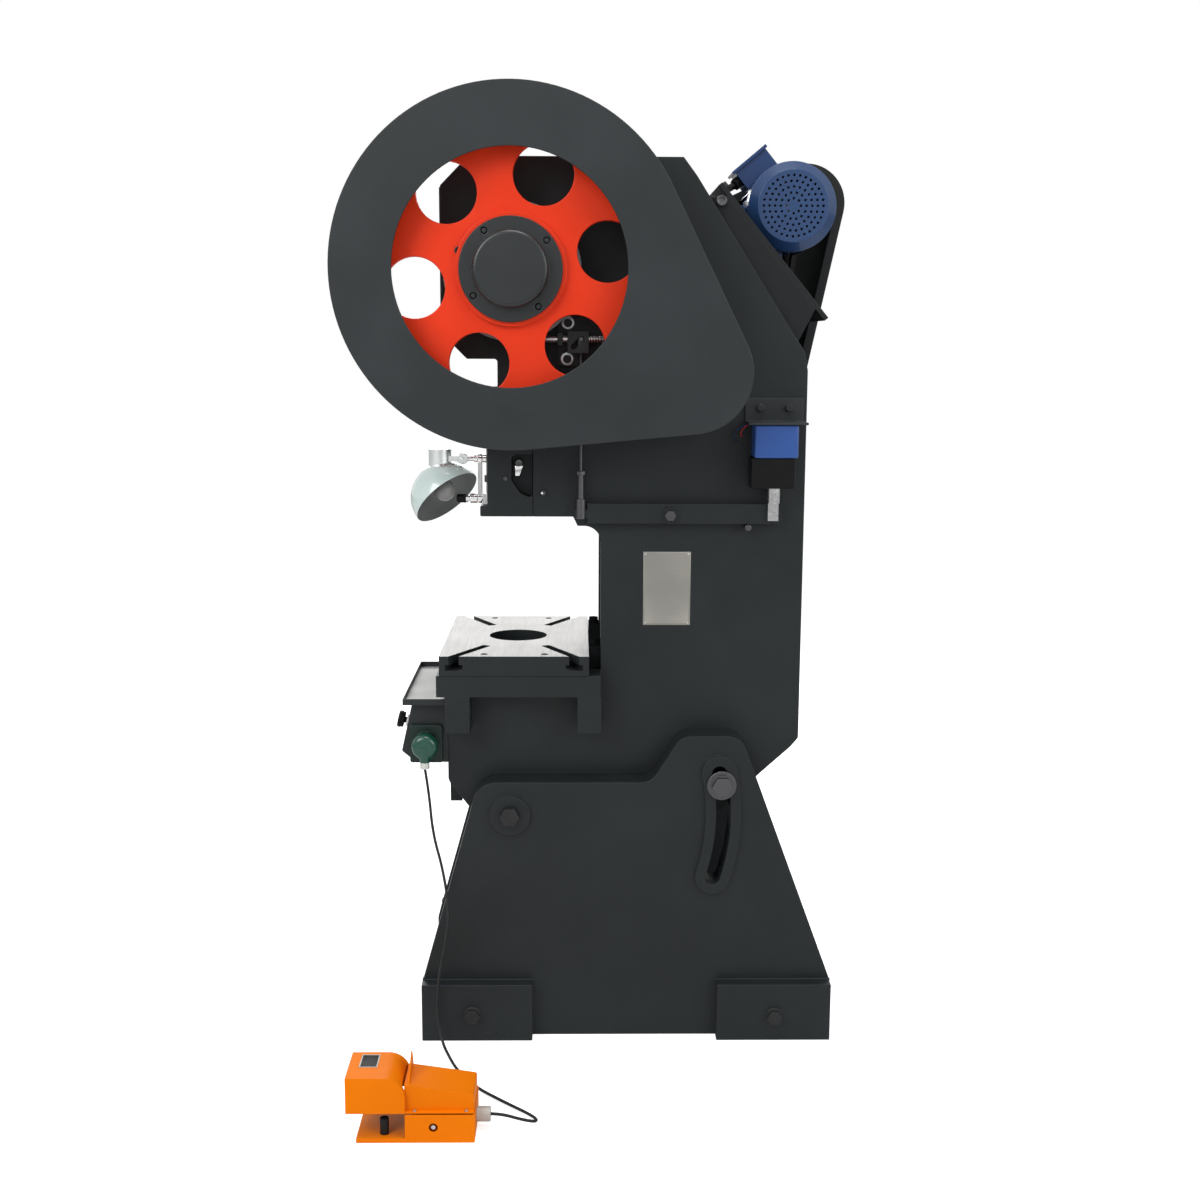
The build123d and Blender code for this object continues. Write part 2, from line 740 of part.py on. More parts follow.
with BuildPart() as motor_base:
    slab(
        -165,
        165,
        [
            on_slope(-155, 0),
            on_slope(262, 0),
            on_slope(262, -plate_thick),
            on_slope(-155, -plate_thick),
        ],
    )
    for x in (-168, 154):
        slab(
            x,
            x + 14,
            [
                on_slope(-120, -plate_thick),
                on_slope(225, -plate_thick),
                (412, 1757),
                (188, 2104),
            ],
        )
    for x in (-120, 90):
        with BuildSketch(
            Plane(origin=(x, *on_slope(-140, 0)), x_dir=(1, 0, 0), z_dir=(0, out_y, out_z))
        ):
            RegularPolygon(14, 6, major_radius=False)
        extrude(amount=16)
    cable(cable_r + RUN_GAP, Mode.SUBTRACT)
save(motor_base.part, "motor_base")

motor_r = 103
with BuildPart() as motor_housing:
    disc(-172, 18, motor_y, motor_z, motor_r)
    disc(-184, -172, motor_y, motor_z, 92)
    for x in (-140, -10):
        slab(
            x - 16,
            x + 16,
            [
                on_slope(-95, 0),
                on_slope(95, 0),
                on_slope(95, 14),
                on_slope(60, 40),
                on_slope(-60, 40),
                on_slope(-95, 14),
            ],
        )
    # cooling fins
    for n in range(20):
        angle = radians(18 * n)
        if 200 < 18 * n < 255:
            continue
        with Locations(
            Location(
                (-77, motor_y + (motor_r + 3) * cos(angle), motor_z + (motor_r + 3) * sin(angle)),
                (18 * n, 0, 0),
            )
        ):
            Box(176, 12, 3)
    disc(-200, 40, motor_y, motor_z, 84, Mode.SUBTRACT)
    disc(-184, -166, motor_y, motor_z, 84)
    disc(10, 18, motor_y, motor_z, 84)
    disc(-200, 40, motor_y, motor_z, 14 + RUN_GAP, Mode.SUBTRACT)
    # terminal box on the up-slope side
    with Locations(
        Location(
            (-70, motor_y - 128 * along_y, motor_z - 128 * along_z),
            (-slope, 0, 0),
        )
    ):
        Box(110, 52, 96)
    with Locations(
        Location(
            (-70, motor_y - 158 * along_y, motor_z - 158 * along_z),
            (-slope, 0, 0),
        )
    ):
        Box(122, 8, 108)
save(motor_housing.part, "motor_housing")

fan_cover_r = 110
with BuildPart() as fan_cover:
    disc(18, 84, motor_y, motor_z, fan_cover_r)
    chamfer(fan_cover.faces().sort_by(Axis.X)[-1].edges(), 22)
    disc(18, 80, motor_y, motor_z, 82, Mode.SUBTRACT)
    with BuildSketch(side(78)):
        with Locations((motor_y, motor_z)):
            for ring, count in ((18, 8), (32, 14), (46, 20), (60, 26), (74, 32)):
                with PolarLocations(ring, count):
                    Circle(3.2)
    extrude(amount=8, mode=Mode.SUBTRACT)
save(fan_cover.part, "fan_cover")

with BuildPart() as motor_cable:
    cable(cable_r)
save(motor_cable.part, "motor_cable")

# Legs: two hollow castings joined by tie rods
leg_in_x = 201
leg_out_x = 276
leg_web_in_x = 258
pad_out_x = 312
foot_in_x = 150
foot_high = 28
rim = 20
tie_rods_at = [(-392, 71), (376, 66)]
tie_rod_r = 12
anchor_x = 175
anchor_y = 440
anchor_r = 11
slot_gap_width = 36

leg_outline = [
    (-524, 0),
    (-524, 130, 14),
    (-374, 671, 60),
    (58, 671, 45),
    (132, 790, 45),
    (282, 790, 50),
    (520, 150, 30),
    (523, 0),
]
leg_inner = [
    (-505, foot_high),
    (-505, 131, 14),
    (-359, 651, 42),
    (69, 651, 45),
    (143, 770, 45),
    (268, 770, 35),
    (502, 147, 30),
    (504, foot_high),
]

with BuildPart() as leg_right:
    slab(leg_in_x, leg_out_x, leg_outline)
    slab(leg_in_x, leg_web_in_x, leg_inner, Mode.SUBTRACT)
    block(foot_in_x, leg_out_x, -524, 523, 0, foot_high)
    block(leg_out_x, pad_out_x, -520, -240, 0, 150)
    block(leg_out_x, pad_out_x, 229, 519, 0, 150)
    for y, z in tie_rods_at:
        disc(leg_in_x, leg_out_x, y, z, 30)
    disc(leg_in_x, leg_out_x + 10, pivot_y, pivot_z, 52)
    slot_arc = CenterArc((pivot_y, pivot_z), clamp_radius, slot_low_angle, slot_high_angle - slot_low_angle)
    with BuildSketch(side(leg_in_x)):
        SlotArc(slot_arc, 90)
    extrude(amount=leg_out_x + 10 - leg_in_x)
    with BuildSketch(side(leg_in_x)):
        SlotArc(slot_arc, slot_gap_width)
    extrude(amount=leg_out_x + 12 - leg_in_x, mode=Mode.SUBTRACT)
    for y, z in tie_rods_at:
        disc(leg_in_x, pad_out_x, y, z, tie_rod_r + RUN_GAP, Mode.SUBTRACT)
    disc(leg_in_x, leg_out_x + 10, pivot_y, pivot_z, pin_r, Mode.SUBTRACT)
    for y in (-anchor_y, anchor_y):
        post(anchor_x, y, 0, foot_high, anchor_r, Mode.SUBTRACT)
save(leg_right.part, "leg_right")

with BuildPart() as leg_left:
    add(mirror(leg_right.part, about=Plane.YZ))
save(leg_left.part, "leg_left")

with BuildPart() as leg_bolts:
    for y, z in tie_rods_at:
        disc(-pad_out_x - 10, pad_out_x + 10, y, z, tie_rod_r)
        for hand in (-1, 1):
            disc(hand * pad_out_x, hand * (pad_out_x + 3), y, z, 22)
            hexagon(hand * (pad_out_x + 3), hand * (pad_out_x + 18), y, z, 34)
    for hand in (-1, 1):
        disc(hand * 145, hand * (leg_out_x + 10), pivot_y, pivot_z, pin_r)
        hexagon(hand * (leg_out_x + 10), hand * (leg_out_x + 28), pivot_y, pivot_z, 44)
save(leg_bolts.part, "leg_bolts")

with BuildPart() as tilt_clamp_bolts:
    for hand in (-1, 1):
        disc(hand * 150, hand * (leg_out_x + 20), clamp_y, clamp_z, pin_r)
        disc(hand * (leg_out_x + 10.5), hand * (leg_out_x + 17), clamp_y, clamp_z, 37)
        hexagon(hand * (leg_out_x + 17), hand * (leg_out_x + 36), clamp_y, clamp_z, 46)
save(tilt_clamp_bolts.part, "tilt_clamp_bolts")

# Trip gear on the outside of the gear-side cheek: lever, pull rod, trip pin and solenoid
rod_x = 225
rod_y = -119
pin_bar_x = 252
pin_bar_z = 1763
plunger_x = 246
plunger_y = 352
link_z = 1340
rod_pin_r = 4.3
plunger_pin_r = 5.3
link_gap = 0.95
plunger_r = 16

with BuildPart() as trip_lever:
    slab(
        lever_in_x,
        lever_out_x,
        [
            (-134, 1330),
            (-103, 1330),
            (-103, 1316.3),
            (375, 1316.3),
            (375, 1366),
            (-103, 1366),
            (-103, 1350),
            (-134, 1350),
        ],
    )
    disc(203, lever_out_x + 3, lever_y, lever_z, 21)
    disc(200, lever_out_x + 4, lever_y, lever_z, lever_bolt_r + RUN_GAP, Mode.SUBTRACT)
    disc(lever_in_x - 1, lever_out_x + 1, rod_y, link_z, rod_pin_r + link_gap, Mode.SUBTRACT)
    disc(lever_in_x - 1, lever_out_x + 1, plunger_y, link_z, plunger_pin_r + link_gap, Mode.SUBTRACT)
save(trip_lever.part, "trip_lever")

with BuildPart() as pull_rod:
    post(rod_x, rod_y, 1328, 1377, 13)
    block(rod_x - 6, rod_x + 6, rod_y - 14, rod_y + 14, 1320, 1362, Mode.SUBTRACT)
    disc(rod_x - 12, rod_x + 12, rod_y, link_z, rod_pin_r)
    post(rod_x, rod_y, 1376, 1442, 8)
    with BuildSketch(Plane.XY.offset(1436)):
        with Locations((rod_x, rod_y)):
            RegularPolygon(10, 6, major_radius=False)
    extrude(amount=9)
    post(rod_x, rod_y, 1440, pin_bar_z - 12, 4)
    block(rod_x - 5, rod_x + 5, rod_y - 8, rod_y + 8, pin_bar_z - 16, pin_bar_z + 10)
    disc(rod_x, pin_bar_x + 12, rod_y, pin_bar_z, 5)
save(pull_rod.part, "pull_rod")

with BuildPart() as trip_pin:
    bar(pin_bar_x, pin_bar_z, -215, -28, 8)
    block(pin_bar_x - 9, pin_bar_x + 9, -152, -101, 1730, 1782)
    with BuildSketch(side(pin_bar_x - 12)):
        with Locations(Location((rod_y - 8.5, pin_bar_z - 8.5), 45)):
            SlotOverall(13 + 26.5, 13)
    extrude(amount=24, mode=Mode.SUBTRACT)
save(trip_pin.part, "trip_pin")

with BuildPart() as trip_bracket:
    block(frame_half_width, 208, -176, -44, 1698, 1818)
    block(208, 264, -176, -163, 1748, 1778)
    block(208, 264, -58, -47, 1748, 1778)
    bar(pin_bar_x, pin_bar_z, -180, -40, 8.4, Mode.SUBTRACT)
    for y, z in ((-151, 1802), (-153, 1716)):
        disc(208, 212, y, z, 15)
        disc(212, 222, y, z, 10)
save(trip_bracket.part, "trip_bracket")

with BuildPart() as trip_spring:
    with BuildLine() as coil:
        Helix(pitch=6.4, height=38.4, radius=11, center=(pin_bar_x, -99, pin_bar_z), direction=(0, 1, 0))
    with BuildSketch(Plane(origin=coil.line @ 0, z_dir=coil.line % 0)):
        Circle(1.2)
    sweep(is_frenet=True)
save(trip_spring.part, "trip_spring")

with BuildPart() as solenoid_bracket:
    block(frame_half_width, 206, 283, 427, 1562, 1624)
    block(206, 292, 283, 427, 1562, 1568)
    for y in (320, 390):
        disc(206, 215, y, 1600, 9)
save(solenoid_bracket.part, "solenoid_bracket")

with BuildPart() as solenoid_cover:
    block(208, 286, 299, 405, 1482, 1562)
save(solenoid_cover.part, "solenoid_cover")

with BuildPart() as solenoid_coil:
    block(213, 279, 293, 399, 1408, 1482)
    post(plunger_x, plunger_y, 1400, 1470, plunger_r + RUN_GAP, Mode.SUBTRACT)
save(solenoid_coil.part, "solenoid_coil")

with BuildPart() as plunger:
    post(plunger_x, plunger_y, 1370, 1440, plunger_r)
    block(plunger_x - 12, plunger_x, plunger_y - 13, plunger_y + 13, 1326, 1372)
    disc(lever_in_x - 4, plunger_x - 2, plunger_y, link_z, plunger_pin_r)
save(plunger.part, "plunger")

# Control box under the tray, with its buttons, socket and plug
box_back_y = -455
box_half_width = 200
box_profile = [(box_back_y, 857), (-544, 857), (-572, 732, 6), (-539, 704, 6), (box_back_y, 702)]
face_lean = atan2(28, 125)
face_y = -558
face_z = 794.5

with BuildPart() as control_box:
    slab(-box_half_width, box_half_width, box_profile)
    slab(
        -box_half_width + 2,
        box_half_width - 2,
        [(box_back_y - 2, 855), (-542.5, 855), (-569.8, 732.8), (-538.2, 706), (box_back_y - 2, 704)],
        Mode.SUBTRACT,
    )
    for x, up in ((150, 4), (50, 40), (-50, 40)):
        with BuildSketch(
            Plane(
                origin=(x, face_y + up * sin(face_lean), face_z + up * cos(face_lean)),
                x_dir=(1, 0, 0),
                z_dir=(0, -cos(face_lean), sin(face_lean)),
            )
        ):
            Circle(11)
        extrude(amount=8, both=True, mode=Mode.SUBTRACT)
save(control_box.part, "control_box")


def on_face(x, up, out):
    """A sketching plane on the slanting front of the control box."""
    return Plane(
        origin=(
            x,
            face_y + up * sin(face_lean) - out * cos(face_lean),
            face_z + up * cos(face_lean) + out * sin(face_lean),
        ),
        x_dir=(1, 0, 0),
        z_dir=(0, -cos(face_lean), sin(face_lean)),
    )


with BuildPart() as button_bezels:
    for x, up in ((150, 4), (50, 40), (-50, 40)):
        with BuildSketch(on_face(x, up, 0)):
            Circle(15)
        extrude(amount=6)
        with BuildSketch(on_face(x, up, -22)):
            Circle(10.6)
        extrude(amount=22)
        with BuildSketch(on_face(x, up, -22)):
            Circle(8)
        extrude(amount=30, mode=Mode.SUBTRACT)
save(button_bezels.part, "button_bezels")


def push_button(x, up, stem_r, head_r):
    """A mushroom-headed button on the control box."""
    with BuildSketch(on_face(x, up, -14)) as stem:
        Circle(stem_r)
    extrude(stem.sketch, amount=26)
    with BuildSketch(on_face(x, up, 12)) as head:
        Circle(head_r)
    extrude(head.sketch, amount=10)


with BuildPart() as run_button:
    push_button(150, 4, 7.6, 20)
save(run_button.part, "run_button")

with BuildPart() as stop_button:
    push_button(50, 40, 7.6, 17)
save(stop_button.part, "stop_button")

with BuildPart() as mode_knob:
    with BuildSketch(on_face(-50, 40, -14)):
        Circle(7.6)
    extrude(amount=22)
    with BuildSketch(on_face(-50, 40, 8)):
        Circle(13)
    extrude(amount=6)
    with BuildSketch(on_face(-50, 40, 14)):
        Rectangle(7, 25)
    extrude(amount=9)
save(mode_knob.part, "mode_knob")

with BuildPart() as tray:
    block(-228, 228, -565, -459, 857, 873)
    block(-226, 226, -563, -461, 859, 880, Mode.SUBTRACT)
save(tray.part, "tray")

plug_y = -509
plug_z = 755
plug_tail_x = 250
with BuildPart() as socket_flange:
    with BuildSketch(side(box_half_width)):
        with Locations((plug_y, 753)):
            RectangleRounded(82, 98, 6)
    extrude(amount=12)
    disc(212, 232, plug_y, plug_z, 30)
save(socket_flange.part, "socket_flange")

with BuildPart() as plug:
    disc(232, 262, plug_y, plug_z, 33)
    fillet(plug.faces().sort_by(Axis.X)[-1].edges(), 16)
    with BuildSketch(Plane.XY.offset(plug_z)):
        with Locations((plug_tail_x, plug_y)):
            Circle(17)
    with BuildSketch(Plane.XY.offset(716)):
        with Locations((plug_tail_x, plug_y)):
            Circle(12)
    loft()
    post(plug_tail_x, plug_y, 700, 716, 12)
save(plug.part, "plug")

# Work lamp on the front of the gear-side gib
lamp_x = 170
lamp_low_z = 1372
lamp_high_z = 1471
knuckle_y = -412
shade_x = 158
shade_y = -453
shade_z = 1373
shade_r = 90

with BuildPart() as lamp_base:
    block(lamp_x - 15, lamp_x + 15, -362, gib_front_y, lamp_low_z - 14, lamp_low_z + 14)
    bar(lamp_x, lamp_low_z, -400, -362, 6)
    bar(lamp_x, lamp_low_z, -394, -376, 12)
    bar(lamp_x, lamp_low_z, -427, -399, 10)
save(lamp_base.part, "lamp_base")

with BuildPart() as lamp_link:
    block(lamp_x - 9, lamp_x + 9, -374, -364, lamp_low_z, lamp_high_z)
    bar(lamp_x, lamp_low_z, -374, -364, 12)
    bar(lamp_x, lamp_high_z, -374, -364, 12)
    bar(lamp_x, lamp_low_z, -375, -363, 6 + RUN_GAP, Mode.SUBTRACT)
    bar(lamp_x, lamp_high_z, -375, -363, 6 + RUN_GAP, Mode.SUBTRACT)
save(lamp_link.part, "lamp_link")

with BuildPart() as lamp_arm:
    bar(lamp_x, lamp_high_z, -400, -354, 6)
    bar(lamp_x, lamp_high_z, -363, -353, 10)
    bar(lamp_x, lamp_high_z, -384, -375, 9)
    disc(lamp_x - 7, lamp_x + 7, knuckle_y, lamp_high_z, 14)
    disc(lamp_x - 8, lamp_x + 8, knuckle_y, lamp_high_z, 4 + RUN_GAP, Mode.SUBTRACT)
save(lamp_arm.part, "lamp_arm")

open_x = 0.39
open_y = 0.594
open_z = -0.702
with BuildPart() as lamp_shade:
    with Locations((shade_x, shade_y, shade_z)):
        Sphere(shade_r)
    post(shade_x, shade_y - 16, 1420, 1494, 28)
    with Locations((shade_x, shade_y, shade_z)):
        Sphere(shade_r - 1.6, mode=Mode.SUBTRACT)
    post(shade_x, shade_y - 16, 1410, 1491, 25, Mode.SUBTRACT)
    with BuildSketch(Plane(origin=(shade_x, shade_y, shade_z), z_dir=(open_x, open_y, open_z))):
        Circle(shade_r + 10)
    extrude(amount=shade_r + 20, mode=Mode.SUBTRACT)
    # fork that grips the knuckle
    for x in (lamp_x - 12.5, lamp_x + 7.5):
        disc(x, x + 5, knuckle_y, lamp_high_z, 12)
        block(x, x + 5, -446, knuckle_y, lamp_high_z - 7, lamp_high_z + 7)
    disc(lamp_x - 16, lamp_x + 18, knuckle_y, lamp_high_z, 4)
    post(shade_x, shade_y - 16, 1440, 1488, 25, Mode.SUBTRACT)
save(lamp_shade.part, "lamp_shade")

with BuildPart() as lamp_bulb:
    with Locations((shade_x, shade_y - 6, shade_z + 18)):
        Sphere(27)
    post(shade_x, shade_y - 14, shade_z + 34, 1491, 13)
save(lamp_bulb.part, "lamp_bulb")

# Foot switch on the floor beside the press
base_near_x = 811
base_far_x = 674
base_front_y = -617
base_back_y = -353
hood_near_x = 805
hood_far_x = 676
hood_low_z = 66
hood_top_z = 150
treadle_y = -486
treadle_z = 60

with BuildPart() as pedal_base:
    block(base_far_x, base_near_x, base_front_y, base_back_y, 0, 10)
    block(base_far_x, base_near_x, -508, base_back_y, 10, hood_low_z)
    block(base_far_x + 3, base_near_x - 3, -520, base_back_y - 3, 10, hood_low_z, Mode.SUBTRACT)
    disc(base_near_x - 4, base_near_x, -445, 36, 10, Mode.SUBTRACT)
    bar(745, 34, -360, base_back_y, 9, Mode.SUBTRACT)
    # hinge pin of the treadle
    disc(base_far_x + 2, base_near_x - 2, treadle_y, treadle_z, 3)
save(pedal_base.part, "pedal_base")

with BuildPart() as pedal_cover:
    slab(
        hood_far_x,
        hood_near_x,
        [(-640, hood_low_z), (-640, hood_top_z), (-508, hood_top_z, 48), (-508, hood_low_z)],
    )
    slab(
        hood_far_x + 2,
        hood_near_x - 2,
        [
            (-642, hood_low_z - 1),
            (-642, hood_top_z - 2),
            (-510, hood_top_z - 2, 46),
            (-510, hood_low_z - 1),
        ],
        Mode.SUBTRACT,
    )
    slab(688, 793, [(-510, hood_low_z), (-510, 129), (-355, 106, 6), (-355, hood_low_z)])
    block(hood_far_x, hood_near_x, -508, -355, hood_low_z, hood_low_z + 3)
    slab(
        690,
        791,
        [(-515, hood_low_z - 1), (-515, 127), (-357, 104, 4), (-357, hood_low_z - 1)],
        Mode.SUBTRACT,
    )
    with BuildSketch(Plane(origin=(0, -499, 0), x_dir=(1, 0, 0), z_dir=(0, -1, 0))):
        with BuildLine():
            Polyline([(692, 124), (790, 124), (782, 134), (716, 172), (700, 150)], close=True)
        make_face()
    extrude(amount=3)
save(pedal_cover.part, "pedal_cover")

with BuildPart() as treadle:
    block(692, 788, -628, treadle_y, 58, 62)
    disc(692, 788, treadle_y, treadle_z, 6)
    block(736, 746, treadle_y, -452, 50, 56)
    disc(735.9, 746.1, -478, 54, 4)
    disc(680, 800, treadle_y, treadle_z, 3 + RUN_GAP, Mode.SUBTRACT)
save(treadle.part, "treadle")

with BuildPart() as pedal_stop:
    post(786, -556, 10, 48, 10)
save(pedal_stop.part, "pedal_stop")

with BuildPart() as pedal_gland:
    bar(745, 34, base_back_y - 8, base_back_y, 8.5)
    bar(745, 34, base_back_y, base_back_y + 32, 17)
    bar(745, 34, base_back_y - 10, base_back_y + 34, 3.9, Mode.SUBTRACT)
save(pedal_gland.part, "pedal_gland")

# Cord of the foot switch: down from the plug, along the floor and back into the gland
cord_r = 3.5
cord_points = [
    (plug_tail_x, plug_y, 699.4),
    (258, -499, 641),
    (276, -489, 538),
    (300, -462, 451),
    (322, -446, 350),
    (330, -454, 278),
    (330, -472, 191),
    (330, -480, 110),
    (334, -474, 45),
    (358, -462, 11),
    (400, -446, 5),
    (470, -422, 4.5),
    (560, -372, 4.5),
    (640, -292, 4.5),
    (704, -226, 6),
    (742, -214, 12),
    (756, -246, 24),
    (748, -290, 33),
    (745, -319, 34),
    (745, -332, 34),
    (745, -345, 34),
    (745, base_back_y - 6, 34),
]
with BuildPart() as pedal_cord:
    with BuildLine() as cord_line:
        Spline(*cord_points, tangents=[(0, 0, -1), (0, -1, 0)])
    with BuildSketch(Plane(origin=cord_line.line @ 0, z_dir=cord_line.line % 0)):
        Circle(cord_r)
    sweep()
save(pedal_cord.part, "pedal_cord")
print("cord length mm", round(sum(edge.length for edge in cord_line.line.edges()) + 40))
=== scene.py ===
# %% [markdown]
# # A mechanical stamping press
# This press bends and punches sheet metal. A motor drives a flywheel with three belts, a pinion on the
# flywheel's shaft drives the big orange gear, and a crank turns that into the straight stroke of the ram.
# The mechanical model comes in finished, in metres, with its gear side at +X and its front at -Y.
# Blender's work here is the finish: softened edges, paint, bright metal, the cord of the foot switch, and
# the small fittings that a workshop would add last.

# %% Load the press
import json
import math

import bpy
from mathutils import Matrix, Vector


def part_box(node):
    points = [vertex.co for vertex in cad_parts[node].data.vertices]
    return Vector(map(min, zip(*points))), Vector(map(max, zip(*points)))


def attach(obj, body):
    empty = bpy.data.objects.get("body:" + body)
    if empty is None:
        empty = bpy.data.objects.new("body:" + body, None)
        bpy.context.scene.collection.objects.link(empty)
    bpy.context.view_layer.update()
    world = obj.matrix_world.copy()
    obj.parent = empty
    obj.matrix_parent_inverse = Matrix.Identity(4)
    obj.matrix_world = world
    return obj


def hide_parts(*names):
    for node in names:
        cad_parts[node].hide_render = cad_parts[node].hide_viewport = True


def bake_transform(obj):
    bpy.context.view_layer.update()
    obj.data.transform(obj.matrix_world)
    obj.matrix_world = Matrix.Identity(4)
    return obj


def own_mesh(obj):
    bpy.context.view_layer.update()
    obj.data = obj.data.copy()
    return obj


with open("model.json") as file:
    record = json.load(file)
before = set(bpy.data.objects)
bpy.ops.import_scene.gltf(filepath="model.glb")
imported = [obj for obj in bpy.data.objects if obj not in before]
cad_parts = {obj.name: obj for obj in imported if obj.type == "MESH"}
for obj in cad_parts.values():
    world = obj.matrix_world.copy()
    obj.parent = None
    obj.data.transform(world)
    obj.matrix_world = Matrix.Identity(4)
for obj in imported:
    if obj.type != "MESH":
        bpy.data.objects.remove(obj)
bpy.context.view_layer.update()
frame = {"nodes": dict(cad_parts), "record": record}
nodes = frame["nodes"]
bodies = frame["record"]["behaviour"]["bodies"]
body_of = {node: body for body, members in bodies.items() for node in members}
GEAR_SIDE = (1, 0, 0)
FRONT = (0, -1, 0)
UP = (0, 0, 1)
DOWN = (0, 0, -1)

# %% [markdown]
# ## The camera
# The photograph was taken from the gear side, from nearly 4 m away and looking a little down, which gives
# the shapes little perspective. The camera's three directions are worked out from its turn, dip and roll,
# and put straight into its matrix, because they are then easy to check one by one.

# %% Camera
CAMERA_PLACE = Vector((3.9374, -0.1276, 1.7558))
turn, dip, roll = (math.radians(degrees) for degrees in (0.874, 9.639, 0.25))
across = Vector((math.sin(turn), math.cos(turn), 0))
level = Vector((-math.cos(turn), math.sin(turn), 0))
ahead = math.cos(dip) * level - math.sin(dip) * Vector(UP)
upward = math.sin(dip) * level + math.cos(dip) * Vector(UP)
right = math.cos(roll) * across + math.sin(roll) * upward
top = math.cos(roll) * upward - math.sin(roll) * across

lens = bpy.data.cameras.new("photo_camera")
lens.lens = 45.5
lens.sensor_width = 36
camera = bpy.data.objects.new("photo_camera", lens)
bpy.context.scene.collection.objects.link(camera)
camera.matrix_world = Matrix.Translation(CAMERA_PLACE) @ Matrix((right, top, -ahead)).transposed().to_4x4()
bpy.context.scene.camera = camera
print("camera", [round(c, 3) for c in CAMERA_PLACE], "looks along", [round(c, 3) for c in ahead])

# %% [markdown]
# ## Floor and light
# A machine this dark needs broad, soft light, or its black-blue paint turns into one flat shape. A key
# lamp and a fill lamp give the form, a back lamp and a top lamp draw the edges, and a pale surround fills
# the shadows. The surround is pure white only where the camera or a shiny surface looks at it, and it
# lights the paint with less. The floor glows a little for the camera alone, so that it runs into the
# white behind it without an edge.

# %% Surround
AMBIENT_STRENGTH = 0.42
BACKDROP_STRENGTH = 1.0

world = bpy.data.worlds.new("surround")
bpy.context.scene.world = world
world.use_nodes = True
sky = world.node_tree
ambient = sky.nodes["Background"]
backdrop = sky.nodes.new("ShaderNodeBackground")
for glow_node, strength in ((ambient, AMBIENT_STRENGTH), (backdrop, BACKDROP_STRENGTH)):
    glow_node.inputs["Color"].default_value = (1, 1, 1, 1)
    glow_node.inputs["Strength"].default_value = strength


def either(first, second):
    """One where either of two yes-or-no values is one."""
    larger = sky.nodes.new("ShaderNodeMath")
    larger.operation = "MAXIMUM"
    sky.links.new(first, larger.inputs[0])
    sky.links.new(second, larger.inputs[1])
    return larger.outputs["Value"]


ray = sky.nodes.new("ShaderNodeLightPath")
seen = either(ray.outputs["Is Camera Ray"], ray.outputs["Is Transmission Ray"])
seen_or_mirrored = either(seen, ray.outputs["Is Glossy Ray"])
choose = sky.nodes.new("ShaderNodeMixShader")
sky.links.new(seen_or_mirrored, choose.inputs["Fac"])
sky.links.new(ambient.outputs["Background"], choose.inputs[1])
sky.links.new(backdrop.outputs["Background"], choose.inputs[2])
sky.links.new(choose.outputs["Shader"], sky.nodes["World Output"].inputs["Surface"])
bpy.context.scene.view_settings.view_transform = "Standard"
print("surround", AMBIENT_STRENGTH, "on the paint,", BACKDROP_STRENGTH, "behind the press")


# %% Lamps
def soft_lamp(name, place, aim, size, power):
    """A large square lamp that faces a point."""
    data = bpy.data.lights.new(name, "AREA")
    data.size = size
    data.energy = power
    lamp = bpy.data.objects.new(name, data)
    bpy.context.scene.collection.objects.link(lamp)
    facing = (Vector(aim) - Vector(place)).to_track_quat("-Z", "Y")
    lamp.matrix_world = Matrix.Translation(place) @ facing.to_matrix().to_4x4()
    print(name, size, "m wide,", power, "W")


soft_lamp("key_lamp", (4.2, -3.4, 4.2), (0, -0.1, 1.2), 3.0, 190)
soft_lamp("fill_lamp", (3.4, 3.6, 2.8), (0, 0.1, 1.1), 3.0, 90)
soft_lamp("back_lamp", (-4.2, -0.6, 3.6), (0, 0, 1.2), 3.0, 120)
soft_lamp("top_lamp", (1.1, 0.1, 4.8), (0.2, 0, 1.2), 1.8, 70)

# %% Floor
FLOOR_WIDTH = 60
FLOOR_DROP = 0.0005
FLOOR_GLOW = 0.66

bpy.ops.mesh.primitive_plane_add(size=FLOOR_WIDTH, location=(0, 0, -FLOOR_DROP))
floor = bpy.context.object
floor.name = "floor"
floor_finish = bpy.data.materials.new("floor_white")
floor_finish.use_nodes = True
floor_tree = floor_finish.node_tree
matt = floor_tree.nodes["Principled BSDF"]
matt.inputs["Base Color"].default_value = (0.86, 0.86, 0.86, 1)
matt.inputs["Roughness"].default_value = 0.9
matt.inputs["Specular IOR Level"].default_value = 0.0
floor_ray = floor_tree.nodes.new("ShaderNodeLightPath")
glow = floor_tree.nodes.new("ShaderNodeEmission")
glow.inputs["Strength"].default_value = FLOOR_GLOW
add_glow = floor_tree.nodes.new("ShaderNodeAddShader")
only_seen = floor_tree.nodes.new("ShaderNodeMixShader")
floor_tree.links.new(matt.outputs["BSDF"], add_glow.inputs[0])
floor_tree.links.new(glow.outputs["Emission"], add_glow.inputs[1])
floor_tree.links.new(floor_ray.outputs["Is Camera Ray"], only_seen.inputs["Fac"])
floor_tree.links.new(matt.outputs["BSDF"], only_seen.inputs[1])
floor_tree.links.new(add_glow.outputs["Shader"], only_seen.inputs[2])
floor_tree.links.new(only_seen.outputs["Shader"], floor_tree.nodes["Material Output"].inputs["Surface"])
floor.data.materials.append(floor_finish)
print("floor", FLOOR_WIDTH, "m wide")

# %% [markdown]
# ## Finishes
# Each finish starts from the plain shader. Noise in three jobs makes it real: it moves the colour a
# little, it moves the roughness, and as height it gives the surface its relief. The noise reads each
# piece's own place in metres, so a blotch of 30 mm is 30 mm on the casting and on the knob. A picture
# wrapped round a piece would need a map for every one of them, and this way needs none.


